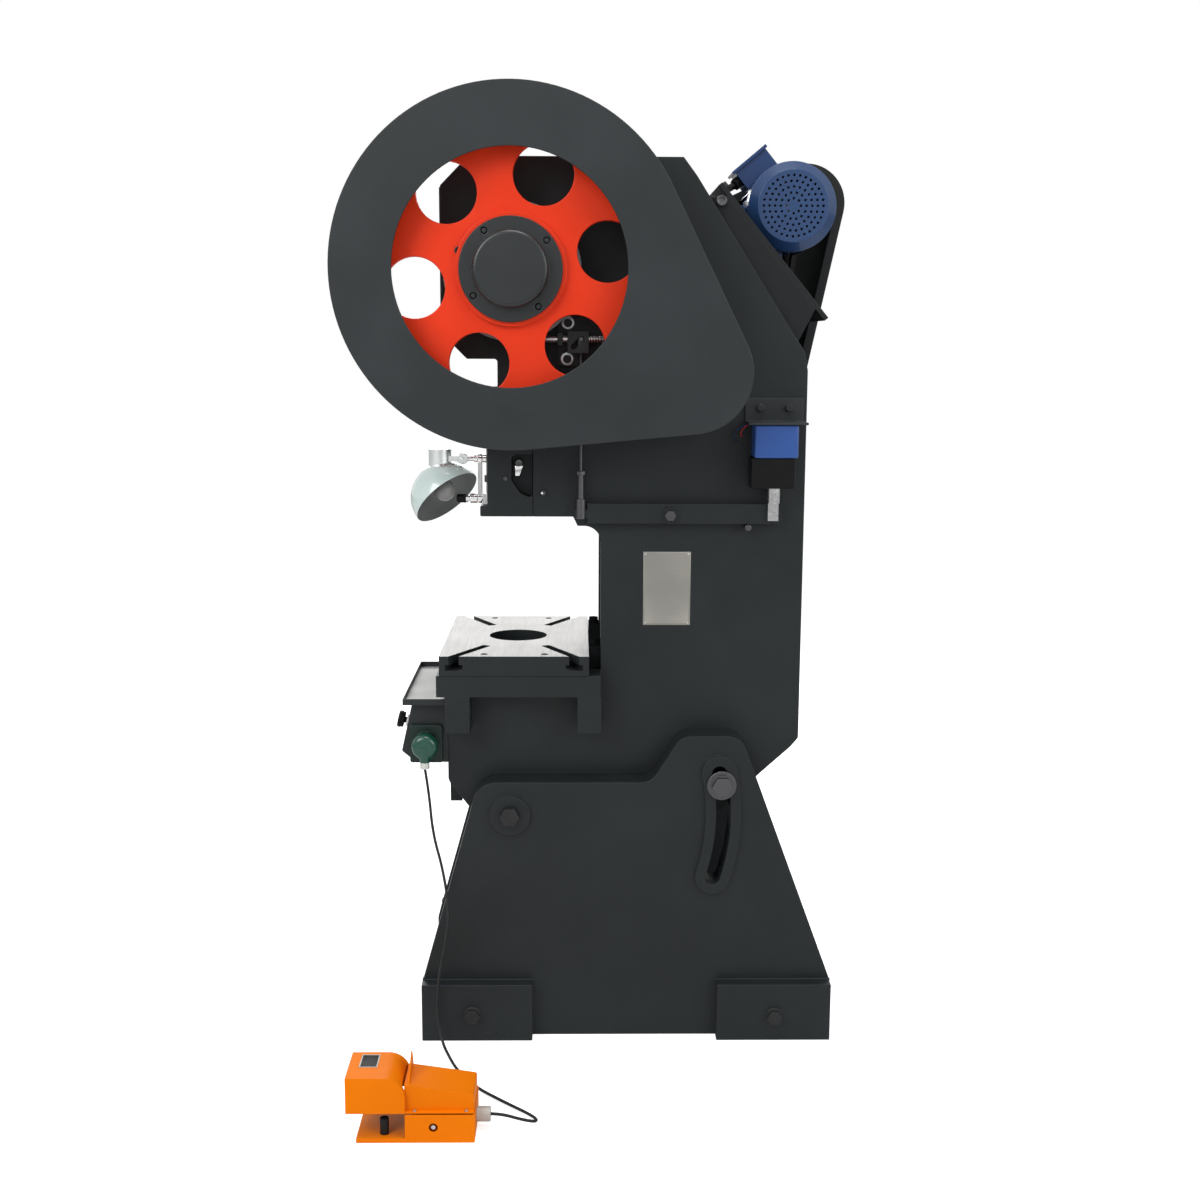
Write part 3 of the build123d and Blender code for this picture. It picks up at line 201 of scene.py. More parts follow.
# %% Small tools for finishes
def start_finish(name, colour, roughness, metal=0.0, gloss=0.5):
    """A new Principled finish with its even values set on the shader."""
    finish = bpy.data.materials.new(name)
    finish.use_nodes = True
    shader = finish.node_tree.nodes["Principled BSDF"]
    shader.inputs["Base Color"].default_value = (*colour, 1)
    shader.inputs["Roughness"].default_value = roughness
    shader.inputs["Metallic"].default_value = metal
    shader.inputs["Specular IOR Level"].default_value = gloss
    finish.diffuse_color = (*colour, 1)
    return finish


def noise_in(finish, size, detail, stretch=(1, 1, 1)):
    """Noise with blotches of this size in metres, stretched along an axis for brushed metal."""
    tree = finish.node_tree
    place = tree.nodes.new("ShaderNodeTexCoord")
    fit = tree.nodes.new("ShaderNodeMapping")
    fit.inputs["Scale"].default_value = stretch
    noise = tree.nodes.new("ShaderNodeTexNoise")
    noise.inputs["Scale"].default_value = 1 / size
    noise.inputs["Detail"].default_value = detail
    tree.links.new(place.outputs["Object"], fit.inputs["Vector"])
    tree.links.new(fit.outputs["Vector"], noise.inputs["Vector"])
    return noise.outputs["Fac"]


def colour_from(finish, amount, dark, light):
    """Colours the finish from dark to light over the middle third of the noise."""
    tree = finish.node_tree
    ramp = tree.nodes.new("ShaderNodeValToRGB")
    for stop, position, colour in zip(ramp.color_ramp.elements, (0.35, 0.65), (dark, light)):
        stop.position = position
        stop.color = (*colour, 1)
    tree.links.new(amount, ramp.inputs["Fac"])
    tree.links.new(ramp.outputs["Color"], tree.nodes["Principled BSDF"].inputs["Base Color"])


def roughness_from(finish, amount, low, high):
    """Moves the roughness between two values with the noise."""
    tree = finish.node_tree
    spread = tree.nodes.new("ShaderNodeMapRange")
    spread.inputs["From Min"].default_value = 0.3
    spread.inputs["From Max"].default_value = 0.7
    spread.inputs["To Min"].default_value = low
    spread.inputs["To Max"].default_value = high
    tree.links.new(amount, spread.inputs["Value"])
    tree.links.new(spread.outputs["Result"], tree.nodes["Principled BSDF"].inputs["Roughness"])


def relief_from(finish, *layers):
    """Stacks bump layers, each given as noise and depth in metres."""
    tree = finish.node_tree
    last = None
    for height, depth in layers:
        bump = tree.nodes.new("ShaderNodeBump")
        bump.inputs["Strength"].default_value = 1.0
        bump.inputs["Distance"].default_value = depth
        tree.links.new(height, bump.inputs["Height"])
        if last:
            tree.links.new(last.outputs["Normal"], bump.inputs["Normal"])
        last = bump
    tree.links.new(last.outputs["Normal"], tree.nodes["Principled BSDF"].inputs["Normal"])


# %% [markdown]
# ### Enamel on castings and on sheet
# The castings are filled and sprayed with a satin enamel. Under it the sand-cast skin still shows as slow
# waves, and the spray leaves a fine orange peel on top. Sheet metal under the same paint has only the
# peel. One function makes every enamel on the press, with the depth of the waves as its main choice.


# %% Enamels
BLOTCH_SIZE = 0.22
RUB_SIZE = 0.09
WAVE_SIZE = 0.035
PEEL_SIZE = 0.0022


def enamel(name, colour, roughness, waves, peel=0.00002, gloss=0.5, spread=0.12, coat=0.0):
    """Sprayed paint: waves and peel are depths in metres."""
    finish = start_finish(name, colour, roughness, gloss=gloss)
    dark = [c * (1 - spread) for c in colour]
    light = [c * (1 + spread) for c in colour]
    colour_from(finish, noise_in(finish, BLOTCH_SIZE, 5.0), dark, light)
    roughness_from(finish, noise_in(finish, RUB_SIZE, 4.0), roughness - 0.05, roughness + 0.07)
    relief_from(finish, (noise_in(finish, WAVE_SIZE, 2.0), waves), (noise_in(finish, PEEL_SIZE, 2.0), peel))
    finish.node_tree.nodes["Principled BSDF"].inputs["Coat Weight"].default_value = coat
    return finish


cast_paint = enamel("cast_paint", (0.011, 0.014, 0.0152), 0.46, 0.0005, 0.00003, gloss=0.24)
sheet_paint = enamel("sheet_paint", (0.0168, 0.02, 0.0216), 0.45, 0.00018, gloss=0.28)
# A darker copy of the sheet paint: painted shade for the belt guard and the motor's base.
painted_shade_enamel = enamel("painted_shade_enamel", (0.007, 0.0085, 0.0092), 0.48, 0.00018, gloss=0.2)
cap_paint = enamel("cap_paint", (0.0135, 0.016, 0.017), 0.3, 0.0003, 0.00003, gloss=0.4)
gear_paint = enamel("gear_paint", (0.68, 0.033, 0.005), 0.4, 0.0003, gloss=0.22, spread=0.06)
motor_paint = enamel("motor_paint", (0.011, 0.035, 0.115), 0.24, 0.00012, gloss=0.36, spread=0.08)
fan_paint = enamel("fan_paint", (0.0125, 0.038, 0.108), 0.3, 0.00006, gloss=0.3, spread=0.08, coat=0.2)
solenoid_paint = enamel("solenoid_paint", (0.014, 0.058, 0.23), 0.33, 0.00008, spread=0.06)
lamp_paint = enamel("lamp_paint", (0.52, 0.62, 0.6), 0.18, 0.00003, 0.000008, spread=0.03, coat=0.5)
# The lining's dark grey is painted shade: it stands for the shade inside the bowl.
lining_painted_shade = enamel("lining_painted_shade", (0.2, 0.21, 0.21), 0.4, 0.00003, 0.000008, spread=0.03)
socket_paint = enamel("socket_paint", (0.006, 0.018, 0.013), 0.36, 0.00005, gloss=0.3, spread=0.08)
plug_paint = enamel("plug_paint", (0.006, 0.058, 0.038), 0.2, 0.00003, spread=0.08)
pedal_paint = enamel("pedal_paint", (0.76, 0.178, 0.002), 0.42, 0.0001, gloss=0.04, spread=0.05)
tray_paint = enamel("tray_paint", (0.28, 0.283, 0.27), 0.5, 0.0001, spread=0.06)
print("enamels with blotches of", BLOTCH_SIZE, "m and a peel of", PEEL_SIZE, "m")

# %% [markdown]
# ### Bare metal, rubber and plastic
# Ground steel keeps the fine parallel lines of the grinding wheel, so its noise is stretched a
# hundredfold along one axis. Turned and plated pieces are smoother. Worn steel is a dark metal and not a
# black paint, and that is what lets its edges catch light. Rubber and plastic take the grain of the mould
# that they come from.


# %% Metals
LINE_SIZE = 0.004
STAIN_SIZE = 0.12


def bright_metal(name, colour, roughness, stretch, depth=0.000006):
    """Worked metal: a low stretch draws its fine lines out along that axis, and a high one packs them."""
    finish = start_finish(name, colour, roughness, metal=1.0)
    lines = noise_in(finish, LINE_SIZE, 3.0, stretch)
    stains = noise_in(finish, STAIN_SIZE, 4.0)
    colour_from(finish, stains, [c * 0.86 for c in colour], colour)
    roughness_from(finish, lines, roughness - 0.06, roughness + 0.1)
    relief_from(finish, (lines, depth))
    return finish


table_steel = bright_metal("table_steel", (0.235, 0.231, 0.226), 0.5, (0.03, 4, 1))
turned_steel = bright_metal("turned_steel", (0.55, 0.55, 0.56), 0.3, (6, 1, 1))
worn_steel = bright_metal("worn_steel", (0.1, 0.1, 0.105), 0.36, (1, 1, 1))
drum_iron = bright_metal("drum_iron", (0.24, 0.24, 0.245), 0.5, (6, 1, 1))
plated_steel = bright_metal("plated_steel", (0.84, 0.84, 0.85), 0.14, (1, 1, 1), 0.000002)
satin_metal = bright_metal("satin_metal", (0.83, 0.87, 0.86), 0.3, (2, 2, 0.1), 0.000002)
bush_bronze = bright_metal("bush_bronze", (0.6, 0.36, 0.16), 0.33, (6, 1, 1))
plate_metal = bright_metal("plate_metal", (0.3, 0.29, 0.265), 0.42, (1, 0.05, 3))
print("metals with lines of", LINE_SIZE, "m and stains of", STAIN_SIZE, "m")


# %% Rubber, plastic and glass
def moulded(name, colour, roughness, grain=0.0008, depth=0.00001, gloss=0.5):
    """Moulded plastic or rubber with a fine grain."""
    finish = start_finish(name, colour, roughness, gloss=gloss)
    fine = noise_in(finish, grain, 2.0)
    colour_from(finish, noise_in(finish, 0.03, 4.0), [c * 0.85 for c in colour], [c * 1.1 for c in colour])
    roughness_from(finish, fine, roughness - 0.05, roughness + 0.08)
    relief_from(finish, (fine, depth))
    return finish


black_steel = moulded("black_steel", (0.014, 0.0145, 0.0155), 0.42, 0.0012, gloss=0.28)
matt_oxide = moulded("matt_oxide", (0.008, 0.0085, 0.009), 0.8, 0.0012, gloss=0.0)
black_rubber = moulded("black_rubber", (0.008, 0.008, 0.0085), 0.55, gloss=0.2)
cord_rubber = moulded("cord_rubber", (0.011, 0.012, 0.012), 0.5, gloss=0.25)
black_plastic = moulded("black_plastic", (0.0055, 0.0055, 0.006), 0.45, gloss=0.12)
red_plastic = moulded("red_plastic", (0.6, 0.02, 0.03), 0.25, depth=0.000003)
grey_plastic = moulded("grey_plastic", (0.5, 0.5, 0.47), 0.4)
pale_plastic = moulded("pale_plastic", (0.75, 0.75, 0.72), 0.35)
# The bulb is mixed dark grey as painted shade, for a bulb that sits in the shade of the bowl.
bulb_glass_painted_shade = start_finish("bulb_glass_painted_shade", (0.24, 0.245, 0.24), 0.3)
bulb_glass_painted_shade.node_tree.nodes["Principled BSDF"].inputs["Subsurface Weight"].default_value = 0.2
relief_from(bulb_glass_painted_shade, (noise_in(bulb_glass_painted_shade, 0.001, 2.0), 0.000004))
print(len(bpy.data.materials), "finishes in the file")

# %% [markdown]
# ## Softened edges
# No edge on a real machine is sharp: castings are rounded by their pattern, sheet by its bend, and the
# paint rounds both again. Each solid is copied, its loose triangles are merged and laid out evenly, and a
# bevel rounds every edge that is sharper than about 30 degrees. The bevel is narrow, 2 mm on a big
# casting and half a millimetre on a small bolt, because a wider one would cross the long thin triangles
# of the flat faces. Last, the large faces are given the say over the shading, so that flat iron looks
# flat up to its edge. The copy then stands for the solid.


# %% Round the edges of a solid
SHARP_ANGLE = math.radians(32)
MERGE_DISTANCE = 0.00002
LEVEL_ANGLE = math.radians(0.5)


def only(piece):
    """Selects this piece alone."""
    bpy.ops.object.select_all(action="DESELECT")
    piece.select_set(True)
    bpy.context.view_layer.objects.active = piece


def rounded(node, radius, *finishes, segments=2):
    """A copy of a solid with its edges rounded by this radius, which takes the solid's place."""
    piece = bpy.data.objects.new(node + "_finished", nodes[node].data.copy())
    bpy.context.scene.collection.objects.link(piece)
    piece.data.materials.clear()
    for finish in finishes:
        piece.data.materials.append(finish)
    only(piece)
    bpy.ops.object.mode_set(mode="EDIT")
    bpy.ops.mesh.select_all(action="SELECT")
    bpy.ops.mesh.remove_doubles(threshold=MERGE_DISTANCE)
    bpy.ops.mesh.customdata_custom_splitnormals_clear()
    bpy.ops.mesh.beautify_fill(angle_limit=LEVEL_ANGLE)
    bpy.ops.mesh.mark_sharp(clear=True)
    bpy.ops.mesh.faces_shade_smooth()
    bpy.ops.object.mode_set(mode="OBJECT")
    edge = piece.modifiers.new("edges", "BEVEL")
    edge.limit_method = "ANGLE"
    edge.angle_limit = SHARP_ANGLE
    edge.width = radius
    edge.segments = segments
    edge.use_clamp_overlap = False
    edge.loop_slide = False
    bpy.ops.object.modifier_apply(modifier="edges")
    even = piece.modifiers.new("even_light", "WEIGHTED_NORMAL")
    even.mode = "FACE_AREA"
    even.weight = 50
    bpy.ops.object.modifier_apply(modifier="even_light")
    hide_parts(node)
    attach(piece, body_of[node])
    print(node, "rounded by", round(radius * 1000, 1), "mm,", len(piece.data.polygons), "faces")
    return piece


def paint_faces(piece, slot_number, chosen):
    """Gives one of the piece's finishes to the faces that chosen(centre, normal) picks."""
    count = 0
    for face in piece.data.polygons:
        if chosen(face.center, face.normal):
            face.material_index = slot_number
            count += 1
    print(piece.name, "has", count, "faces in", piece.data.materials[slot_number].name)


# %% [markdown]
# ### Castings and covers
# The frame, the legs and the gibs are grey iron from a sand mould, and the guards are bent and welded
# from sheet. They are all sprayed in one dark colour. The castings get the paint with deep waves and the
# guards the smoother one, and that alone tells iron from sheet when light grazes them. The belt guard and
# the motor's base get a still darker copy of the paint, which is painted shade for faces that lie in
# shade. The skin of a casting could be sculpted too, but relief in the paint shows the same from a step
# away and adds no face.

# %% Castings and sheet covers
rounded("frame_casting", 0.0016, cast_paint)
for node in ("leg_right", "leg_left"):
    rounded(node, 0.0022, cast_paint, segments=3)
rounded("gibs", 0.002, cast_paint)
rounded("gear_guard", 0.0018, sheet_paint, segments=3)
# The belt guard is given the darker copy of the paint as painted shade.
rounded("belt_guard", 0.0016, painted_shade_enamel)
rounded("front_cover", 0.001, sheet_paint)
# The motor's base is given the darker copy of the paint as painted shade.
rounded("motor_base", 0.0012, painted_shade_enamel)
rounded("control_box", 0.0012, sheet_paint)
rounded("solenoid_bracket", 0.0012, sheet_paint)
rounded("trip_lever", 0.0005, cast_paint)
rounded("flywheel", 0.002, cast_paint)

# %% [markdown]
# ### Gear and drive
# The gear is painted, and its teeth are bare where they run. A second object for the tooth ring would
# leave a seam, so the one solid gets two finishes: the faces on the ring that don't look sideways are
# picked by their place. Shafts, rod and ram are turned or ground and stay bare. Bolts get the dark finish
# that oxide gives them.

# %% Gear, cap and drive
BARE_DEPTH = 0.017

gear_low, gear_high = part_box("big_gear")
gear_centre = (gear_low + gear_high) / 2
bare_beyond = (gear_high.y - gear_low.y) / 2 - BARE_DEPTH


def on_teeth(centre, normal):
    """True on the tooth ring, apart from the faces that look sideways."""
    from_axis = math.hypot(centre.y - gear_centre.y, centre.z - gear_centre.z)
    return abs(normal.x) < 0.5 and from_axis > bare_beyond


gear_piece = rounded("big_gear", 0.0025, gear_paint, turned_steel)
paint_faces(gear_piece, 1, on_teeth)
rounded("hub_cap", 0.0015, cap_paint)
rounded("crankshaft", 0.0012, drum_iron)
rounded("pinion_shaft", 0.001, turned_steel)
rounded("connecting_rod", 0.0011, turned_steel)
rounded("rod_cap", 0.0015, turned_steel)
rounded("ram", 0.0012, turned_steel)
rounded("ball_cup", 0.0015, black_steel)
rounded("brake_band", 0.0006, drum_iron)
rounded("frame_bolts", 0.0006, worn_steel)
rounded("leg_bolts", 0.0015, black_steel)
rounded("tilt_clamp_bolts", 0.0015, worn_steel)
rounded("bolster_clamp", 0.001, matt_oxide)

# %% [markdown]
# ### Motor, trip gear and controls
# These are bought parts, so each comes in its own colour: a blue motor, a blue solenoid over a black
# coil, a green plug, a black and a red mushroom button. The spring on the trip pin gets shorter when the
# solenoid draws the pin back. Here it is rounded and given a mesh of its own.

# %% Motor and solenoid
rounded("motor_housing", 0.0008, motor_paint)
rounded("fan_cover", 0.0008, fan_paint, segments=3)
rounded("solenoid_cover", 0.005, solenoid_paint, segments=3)
rounded("solenoid_coil", 0.003, black_plastic)
rounded("plunger", 0.0006, plated_steel)
rounded("pull_rod", 0.0006, worn_steel)

# %% Trip pin with its bracket and its spring
TRIP_PIN_X, TRIP_PIN_Z = 0.252, 1.763
PIN_RADIUS = 0.0085
BRACKET_FACE_X = 0.2075
BOLT_HEAD_RADIUS = 0.0098
WASHER_RADIUS = 0.0155
WASHER_CENTRES = ((-0.151, 1.802), (-0.153, 1.716))


def on_pin(centre, normal):
    """True on the turned pin itself, inside the rim of its dark collar."""
    return math.hypot(centre.x - TRIP_PIN_X, centre.z - TRIP_PIN_Z) < PIN_RADIUS


def on_washer(centre, normal):
    """True on the two washers of the bracket, outside the bolt heads."""
    reaches = [math.hypot(centre.y - y, centre.z - z) for y, z in WASHER_CENTRES]
    return centre.x > BRACKET_FACE_X and any(BOLT_HEAD_RADIUS < reach < WASHER_RADIUS for reach in reaches)


pin_piece = rounded("trip_pin", 0.0006, black_steel, turned_steel)
paint_faces(pin_piece, 1, on_pin)
bracket_piece = rounded("trip_bracket", 0.0008, black_steel, turned_steel)
paint_faces(bracket_piece, 1, on_washer)
spring_piece = rounded("trip_spring", 0.0002, worn_steel)
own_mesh(spring_piece)

# %% Plug, buttons and knob
COLLAR_HEIGHT = 0.016

collar_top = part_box("plug")[0].z + COLLAR_HEIGHT
rounded("socket_flange", 0.002, socket_paint)
plug_piece = rounded("plug", 0.0009, plug_paint, grey_plastic, segments=3)
paint_faces(plug_piece, 1, lambda centre, normal: centre.z < collar_top)
rounded("button_bezels", 0.001, pale_plastic)
rounded("run_button", 0.0025, black_plastic, segments=3)
rounded("stop_button", 0.0025, red_plastic, segments=3)
rounded("mode_knob", 0.0004, black_plastic)

# %% [markdown]
# ### Table and tray
# The table's sides are cast and painted. Its top is ground flat and stays bare, because the die is
# clamped to it. The tray in front is sheet that is dark outside and pale inside. A thin second piece on
# top would fight with the face below it. So both stay one solid each, and the second finish goes on the
# faces that look up and lie at the right height.

# %% Table: a bright ground top on painted sides
TOP_TOLERANCE = 0.0005

ground_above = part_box("bolster")[1].z - TOP_TOLERANCE
table_piece = rounded("bolster", 0.0008, cast_paint, table_steel)
paint_faces(table_piece, 1, lambda centre, normal: normal.z > 0.5 and centre.z > ground_above)

# %% Tray: light inside, dark outside
LIP_HEIGHT = 0.007

inside_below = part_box("tray")[1].z - LIP_HEIGHT
tray_piece = rounded("tray", 0.0005, sheet_paint, tray_paint)
paint_faces(tray_piece, 1, lambda centre, normal: normal.z > 0.5 and centre.z < inside_below)

# %% [markdown]
# ### Work lamp
# The shade is spun from sheet and enamelled, glossy outside, with a bare neck round the lamp holder. Its
# inside is mixed dark grey, which is painted shade in the bowl, and the bulb is dark grey as painted shade
# too. Inside and outside are told apart by whether a face looks towards the middle of the shade.
# The arms are plated and nearly mirrors, so they show the bright room.

# %% Work lamp: pale outside, painted shade inside, bare at the neck
SHADE_CENTRE = Vector((0.158, -0.453, 1.373))
NECK_HEIGHT = 0.042
LINING_OVERLAP = 0.008

neck_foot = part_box("lamp_shade")[1].z - NECK_HEIGHT


def looks_inward(centre, normal):
    """True on the inside of the shade, up to just above the foot of the neck."""
    return normal.dot(SHADE_CENTRE - centre) > 0.01 and centre.z < neck_foot + LINING_OVERLAP


shade_piece = rounded("lamp_shade", 0.0004, lamp_paint, lining_painted_shade, satin_metal)
# The faces inside the bowl get the lining, which is painted shade.
paint_faces(shade_piece, 1, looks_inward)
paint_faces(shade_piece, 2, lambda centre, normal: centre.z > neck_foot)
rounded("lamp_base", 0.001, plated_steel)
rounded("lamp_link", 0.001, plated_steel)
rounded("lamp_arm", 0.0006, plated_steel)

# %% [markdown]
# ### Foot switch
# The foot switch is orange, so that it is found on a dark floor. Its hood keeps anything that falls off
# the treadle. The paint has little gloss here, because pale reflections would wash its colour out on the
# faces that look up.

# %% Foot switch
rounded("pedal_base", 0.001, pedal_paint)
rounded("pedal_cover", 0.0006, pedal_paint, segments=3)
rounded("pedal_gland", 0.0015, grey_plastic, segments=3)
rounded("pedal_stop", 0.001, black_rubber)
rounded("treadle", 0.0006, black_steel)

# %% [markdown]
# ### The other solids
# The rest of the solids are hidden for the most part, or round already, so they only need a finish. A
# solid that isn't copied keeps its own mesh, and the finish is hung into its slots.

# %% Finishes on the other solids
plain_finishes = {
    "gear_bush": bush_bronze,
    "shaft_bushes": bush_bronze,
    "eccentric_bush": bush_bronze,
    "ball_screw": turned_steel,
    "v_belts": black_rubber,
    "motor_rotor": turned_steel,
    "motor_cable": black_rubber,
    # The bulb's dark grey is painted shade.
    "lamp_bulb": bulb_glass_painted_shade,
}
for node, finish in plain_finishes.items():
    for slot in nodes[node].material_slots:
        slot.material = finish
print(len(plain_finishes), "solids only get a finish")

# %% [markdown]
# ## Small fittings
# What a workshop adds last is made here: the bare data plate, screw heads, a cable gland, the two thin
# leads of the solenoid and a clamp knob on the lamp. Apart from the leads, each one is a block or a round
# bar that is set in place at its real size and then worked at one end. Every one of them rides on the
# body that it is fixed to.


# %% Bars and blocks
def round_bar(place, axis, radius, length, sides=32):
    """A bar that starts at a point and runs along an axis, with its place kept in its mesh."""
    bpy.ops.object.select_all(action="DESELECT")
    way = Vector(axis).normalized()
    bpy.ops.mesh.primitive_cylinder_add(
        vertices=sides,
        radius=radius,
        depth=length,
        location=Vector(place) + way * length / 2,
        rotation=way.to_track_quat("Z", "Y").to_euler(),
    )
    bpy.ops.object.transform_apply(location=True, rotation=True, scale=True)
    return bpy.context.object


def flat_block(low, high):
    """A block between two corners, with its place kept in its mesh."""
    bpy.ops.object.select_all(action="DESELECT")
    centre = [(a + b) / 2 for a, b in zip(low, high)]
    bpy.ops.mesh.primitive_cube_add(size=1, location=centre, scale=[b - a for a, b in zip(low, high)])
    bpy.ops.object.transform_apply(location=True, rotation=True, scale=True)
    return bpy.context.object


# %% Work on one end of a fitting
SAME_WAY = 0.9


def chosen_faces(piece, direction):
    """Opens the piece for editing with only the faces selected that look this way."""
    only(piece)
    way = Vector(direction).normalized()
    for vertex in piece.data.vertices:
        vertex.select = False
    for edge in piece.data.edges:
        edge.select = False
    for face in piece.data.polygons:
        face.select = face.normal.dot(way) > SAME_WAY
    bpy.context.tool_settings.mesh_select_mode = (False, False, True)
    bpy.ops.object.mode_set(mode="EDIT")


def bevelled_end(piece, direction, width):
    """Rounds the rim of the end that faces this way."""
    chosen_faces(piece, direction)
    bpy.ops.mesh.bevel(offset=width, segments=3)
    bpy.ops.object.mode_set(mode="OBJECT")


def sunk_end(piece, direction, rim, depth):
    """Leaves a rim on the end that faces this way and sinks the rest of it."""
    chosen_faces(piece, direction)
    bpy.ops.mesh.inset(thickness=rim)
    inward = Vector(direction).normalized() * -depth
    bpy.ops.mesh.extrude_region_move(TRANSFORM_OT_translate={"value": inward})
    bpy.ops.object.mode_set(mode="OBJECT")


# %% Fixing a fitting
FITTING_SHARP = math.radians(40)
SMOOTH_BELOW = math.radians(34)


def fit_on(piece, name, finish, body, edge):
    """Names a fitting, rounds its edges by this width and fixes it to its body."""
    piece.name = name
    piece.data.materials.append(finish)
    only(piece)
    if edge:
        bevel = piece.modifiers.new("edges", "BEVEL")
        bevel.limit_method = "ANGLE"
        bevel.angle_limit = FITTING_SHARP
        bevel.width = edge
        bevel.segments = 2
        bpy.ops.object.modifier_apply(modifier="edges")
    bpy.ops.object.shade_smooth_by_angle(angle=SMOOTH_BELOW)
    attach(piece, body)
    print(name, "rides on", body, "with", len(piece.data.polygons), "faces")


def screw(name, place, axis, radius, height_share, finish, body):
    """A cap screw: a round head with a socket. Its height is given as a share of its radius."""
    head = round_bar(place, axis, radius, radius * height_share)
    sunk_end(head, axis, rim=radius * 0.42, depth=radius * 0.35)
    fit_on(head, name, finish, body, edge=radius * 0.08)


# %% [markdown]
# ### Data plate
# A thin plate of bare metal on four rivets. It could be a patch of colour on the casting, but a real rim
# catches the light. So it is a flat block whose outer face is inset for the rim and then pushed in by
# half a millimetre, which is how a pressed plate looks. Its field stays empty.

# %% Data plate
PLATE_Y = (0.037, 0.155)
PLATE_Z = (1.058, 1.243)
RIVET_MARGIN = 0.0055

# The gibs end flush with the side of the frame. The plate sits 0.2 mm deep, so that no gap shows behind it.
frame_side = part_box("gibs")[1].x
plate_back = (frame_side - 0.0002, PLATE_Y[0], PLATE_Z[0])
plate_front = (frame_side + 0.0012, PLATE_Y[1], PLATE_Z[1])
plate = flat_block(plate_back, plate_front)
sunk_end(plate, GEAR_SIDE, rim=0.0045, depth=0.0005)
fit_on(plate, "data_plate", plate_metal, "frame", edge=0.0003)
rivet_y = (PLATE_Y[0] + RIVET_MARGIN, PLATE_Y[1] - RIVET_MARGIN)
rivet_z = (PLATE_Z[0] + RIVET_MARGIN, PLATE_Z[1] - RIVET_MARGIN)
for number, (y, z) in enumerate([(y, z) for y in rivet_y for z in rivet_z]):
    rivet_place = (frame_side + 0.0005, y, z)
    screw(f"plate_rivet_{number}", rivet_place, GEAR_SIDE, 0.0024, 0.5, turned_steel, "frame")

# %% [markdown]
# ### Screws, glands and buttons
# A cap screw is a short bar whose end is inset and sunk for the socket, so one function makes them all.
# The gland of the motor's cable has six flats. The hinge pin of the motor's base shows its turned end. In
# the pocket of the gib are the setting screw and its lock plate, with the oil nipple beside the pocket.
# The button nearest to the plug gets a broader cap, which stands square on the leaning front of the
# control box.

# %% Fittings on gear and motor
screw("gear_oil_plug", (0.323, -0.405, 1.965), GEAR_SIDE, 0.009, 0.7, black_steel, "gear")

gland_way = Vector((0.022, -0.0445, -0.0307)).normalized()
gland_seat = Vector((-0.040, 0.2845, 2.1617))
gland = round_bar(gland_seat - gland_way * 0.004, gland_way, radius=0.0155, length=0.024, sides=6)
fit_on(gland, "motor_gland", black_plastic, "frame", edge=0.0015)

hinge_pin = round_bar((0.166, 0.219, 2.094), GEAR_SIDE, radius=0.0125, length=0.016)
sunk_end(hinge_pin, GEAR_SIDE, rim=0.004, depth=0.002)
fit_on(hinge_pin, "motor_hinge_pin", worn_steel, "frame", edge=0.001)

# %% Fittings in and beside the gib's pocket
POCKET_DEPTH = 0.012

pocket_floor = frame_side - POCKET_DEPTH
setting_screw = round_bar((pocket_floor, -0.272, 1.462), GEAR_SIDE, radius=0.0085, length=0.004)
sunk_end(setting_screw, GEAR_SIDE, rim=0.0022, depth=0.0015)
fit_on(setting_screw, "gib_setting_screw", worn_steel, "frame", edge=0.0004)

lock_plate = flat_block((pocket_floor - 0.004, -0.282, 1.430), (pocket_floor, -0.262, 1.4545))
chosen_faces(lock_plate, DOWN)
bpy.ops.transform.resize(value=(1, 0.5, 1))
bpy.ops.transform.translate(value=(0, -0.004, 0))
bpy.ops.object.mode_set(mode="OBJECT")
fit_on(lock_plate, "gib_lock_plate", plated_steel, "frame", edge=0.0006)

nipple_place = (frame_side, -0.2145, 1.3895)
screw("gib_oil_nipple", nipple_place, GEAR_SIDE, 0.0028, 4.0, plated_steel, "frame")

# %% Cap of the run button
STEM_LENGTH = 0.019

box_lean = math.atan2(28, 125)
button_out = Vector((0, -math.cos(box_lean), math.sin(box_lean)))
button_face = Vector((0.150, -0.5571, 0.7984))
cap = round_bar(button_face + STEM_LENGTH * button_out, button_out, radius=0.0215, length=0.0095, sides=48)
bevelled_end(cap, button_out, width=0.004)
fit_on(cap, "run_button_cap", black_plastic, "run_button", edge=0.0006)

# %% [markdown]
# ### Fittings on the foot switch and the lamp
# The label of the foot switch is a plate like the one on the frame, with a dark field. Two screws close
# the cover and one goes into the side. The lamp is held by a black knob that clamps its lower joint, with
# a bevelled end made in edit mode.

# %% Fittings on the foot switch
LABEL_TOP = 0.1508

label = flat_block((0.690, -0.616, LABEL_TOP - 0.0011), (0.752, -0.574, LABEL_TOP))
sunk_end(label, UP, rim=0.003, depth=0.0003)
fit_on(label, "pedal_plate", plate_metal, "stand", edge=0.0002)
label.data.materials.append(black_plastic)
paint_faces(label, 1, lambda centre, normal: normal.z > 0.9 and centre.z < LABEL_TOP - 0.0002)
for number, y in enumerate((-0.487, -0.372)):
    screw(f"pedal_screw_{number}", (0.799, y, 0.0688), UP, 0.0042, 0.6, turned_steel, "stand")
side_place = (0.8065, -0.445, 0.036)
screw("pedal_side_screw", side_place, GEAR_SIDE, 0.005, 0.5, turned_steel, "stand")

# %% Clamp knob of the lamp
knob = round_bar((0.170, -0.404, 1.372), FRONT, radius=0.0107, length=0.0237, sides=40)
bevelled_end(knob, FRONT, width=0.003)
fit_on(knob, "lamp_clamp_knob", black_plastic, "lamp_link", edge=0.0006)

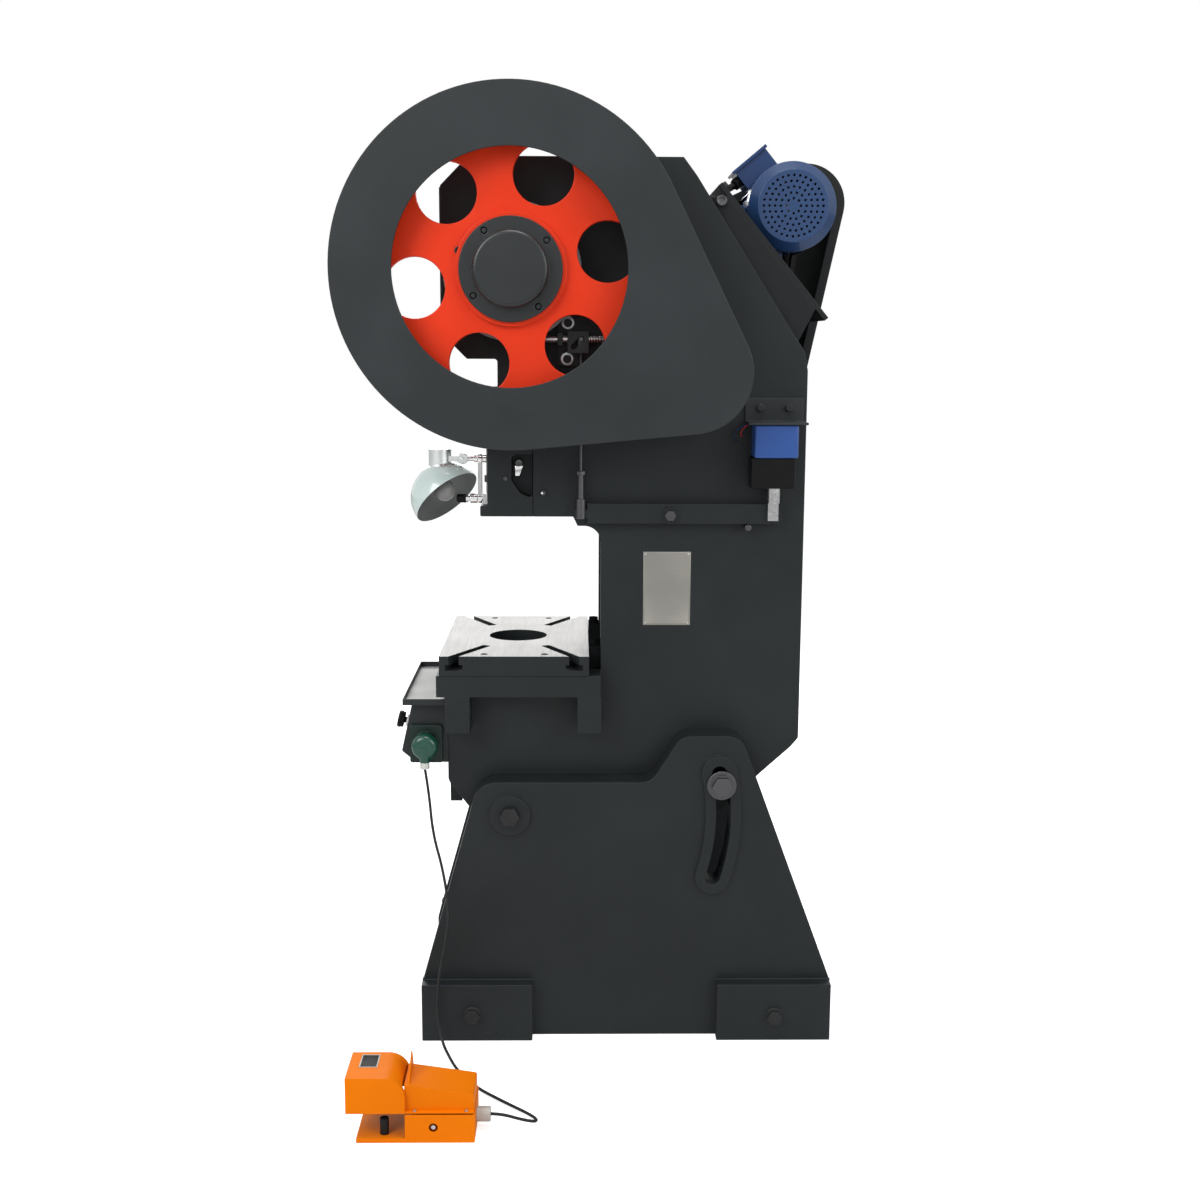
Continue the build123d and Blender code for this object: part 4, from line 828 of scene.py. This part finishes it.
# %% [markdown]
# ### Leads of the solenoid
# Two thin wires hang from the solenoid and go into the frame. A wire is a curve with a round section: it
# is quicker to place than a tube, and it is made a mesh at the end. Its points lead the line without
# lying on it, and only the first and the last one are met, which is why a few of them give a smooth bend.


# %% Tools for wires
def smooth_line(name, places, order, steps):
    """A curve that starts at the first of these points, ends at the last and is led by the others."""
    line = bpy.data.curves.new(name, "CURVE")
    line.dimensions = "3D"
    line.resolution_u = steps
    run = line.splines.new("NURBS")
    run.points.add(len(places) - 1)
    for point, place in zip(run.points, places):
        point.co = (*place, 1)
    run.order_u = order
    run.use_endpoint_u = True
    wire = bpy.data.objects.new(name, line)
    bpy.context.scene.collection.objects.link(wire)
    return wire


def thick_wire(wire, diameter, resolution):
    """Turns the line into a round wire with a mesh."""
    wire.data.bevel_depth = diameter / 2
    wire.data.bevel_resolution = resolution
    only(wire)
    bpy.ops.object.convert(target="MESH")
    return bpy.context.object


# %% Leads of the solenoid
LEAD_DIAMETER = 0.0022
RED_LEAD_ROUTE = [
    (0.224, 0.290, 1.561),
    (0.226, 0.283, 1.556),
    (0.220, 0.270, 1.544),
    (0.212, 0.272, 1.530),
    (0.198, 0.281, 1.529),
]
BLUE_LEAD_ROUTE = [
    (0.220, 0.288, 1.560),
    (0.222, 0.266, 1.554),
    (0.218, 0.254, 1.538),
    (0.210, 0.252, 1.520),
    (0.198, 0.268, 1.519),
]

for name, finish, slot_name, route in (
    ("red_lead", red_plastic, "red_plastic", RED_LEAD_ROUTE),
    ("blue_lead", motor_paint, "motor_blue", BLUE_LEAD_ROUTE),
):
    lead = thick_wire(smooth_line(name, route, order=4, steps=8), LEAD_DIAMETER, resolution=2)
    fit_on(lead, name, finish, "frame", edge=0)

# %% [markdown]
# ## Cord of the foot switch
# A light rubber cord hangs from the plug, meets the floor and runs back to the gland of the foot switch.
# A row of short bars would show its joints when it bends, so the cord is a tube along a smooth curve that
# is led by the points of its route. A mesh of the line is taken first, then the tube is made from it, and
# the cord of the model is hidden. The plug tilts with the frame and the foot switch stays on the floor.

# %% Route and tube of the cord
CORD_ROUTE = [
    (0.250, -0.509, 0.6994),
    (0.258, -0.499, 0.641),
    (0.276, -0.489, 0.538),
    (0.300, -0.462, 0.451),
    (0.322, -0.446, 0.350),
    (0.330, -0.454, 0.278),
    (0.330, -0.472, 0.191),
    (0.330, -0.480, 0.110),
    (0.334, -0.474, 0.045),
    (0.358, -0.462, 0.011),
    (0.400, -0.446, 0.005),
    (0.470, -0.422, 0.0045),
    (0.560, -0.372, 0.0045),
    (0.640, -0.292, 0.0045),
    (0.704, -0.226, 0.006),
    (0.742, -0.214, 0.012),
    (0.756, -0.246, 0.024),
    (0.748, -0.290, 0.033),
    (0.745, -0.319, 0.034),
    (0.745, -0.332, 0.034),
    (0.745, -0.345, 0.034),
    (0.745, -0.359, 0.034),
]
CORD_DIAMETER = 0.007

cord_line = smooth_line("pedal_cord_tube", CORD_ROUTE, order=3, steps=12)
bpy.context.view_layer.update()
followed = bpy.data.meshes.new_from_object(cord_line)
cord_line.data.use_fill_caps = True
cord_piece = thick_wire(cord_line, CORD_DIAMETER, resolution=3)
cord_piece.data.materials.append(cord_rubber)
bpy.ops.object.shade_smooth()
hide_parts("pedal_cord")
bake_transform(cord_piece)
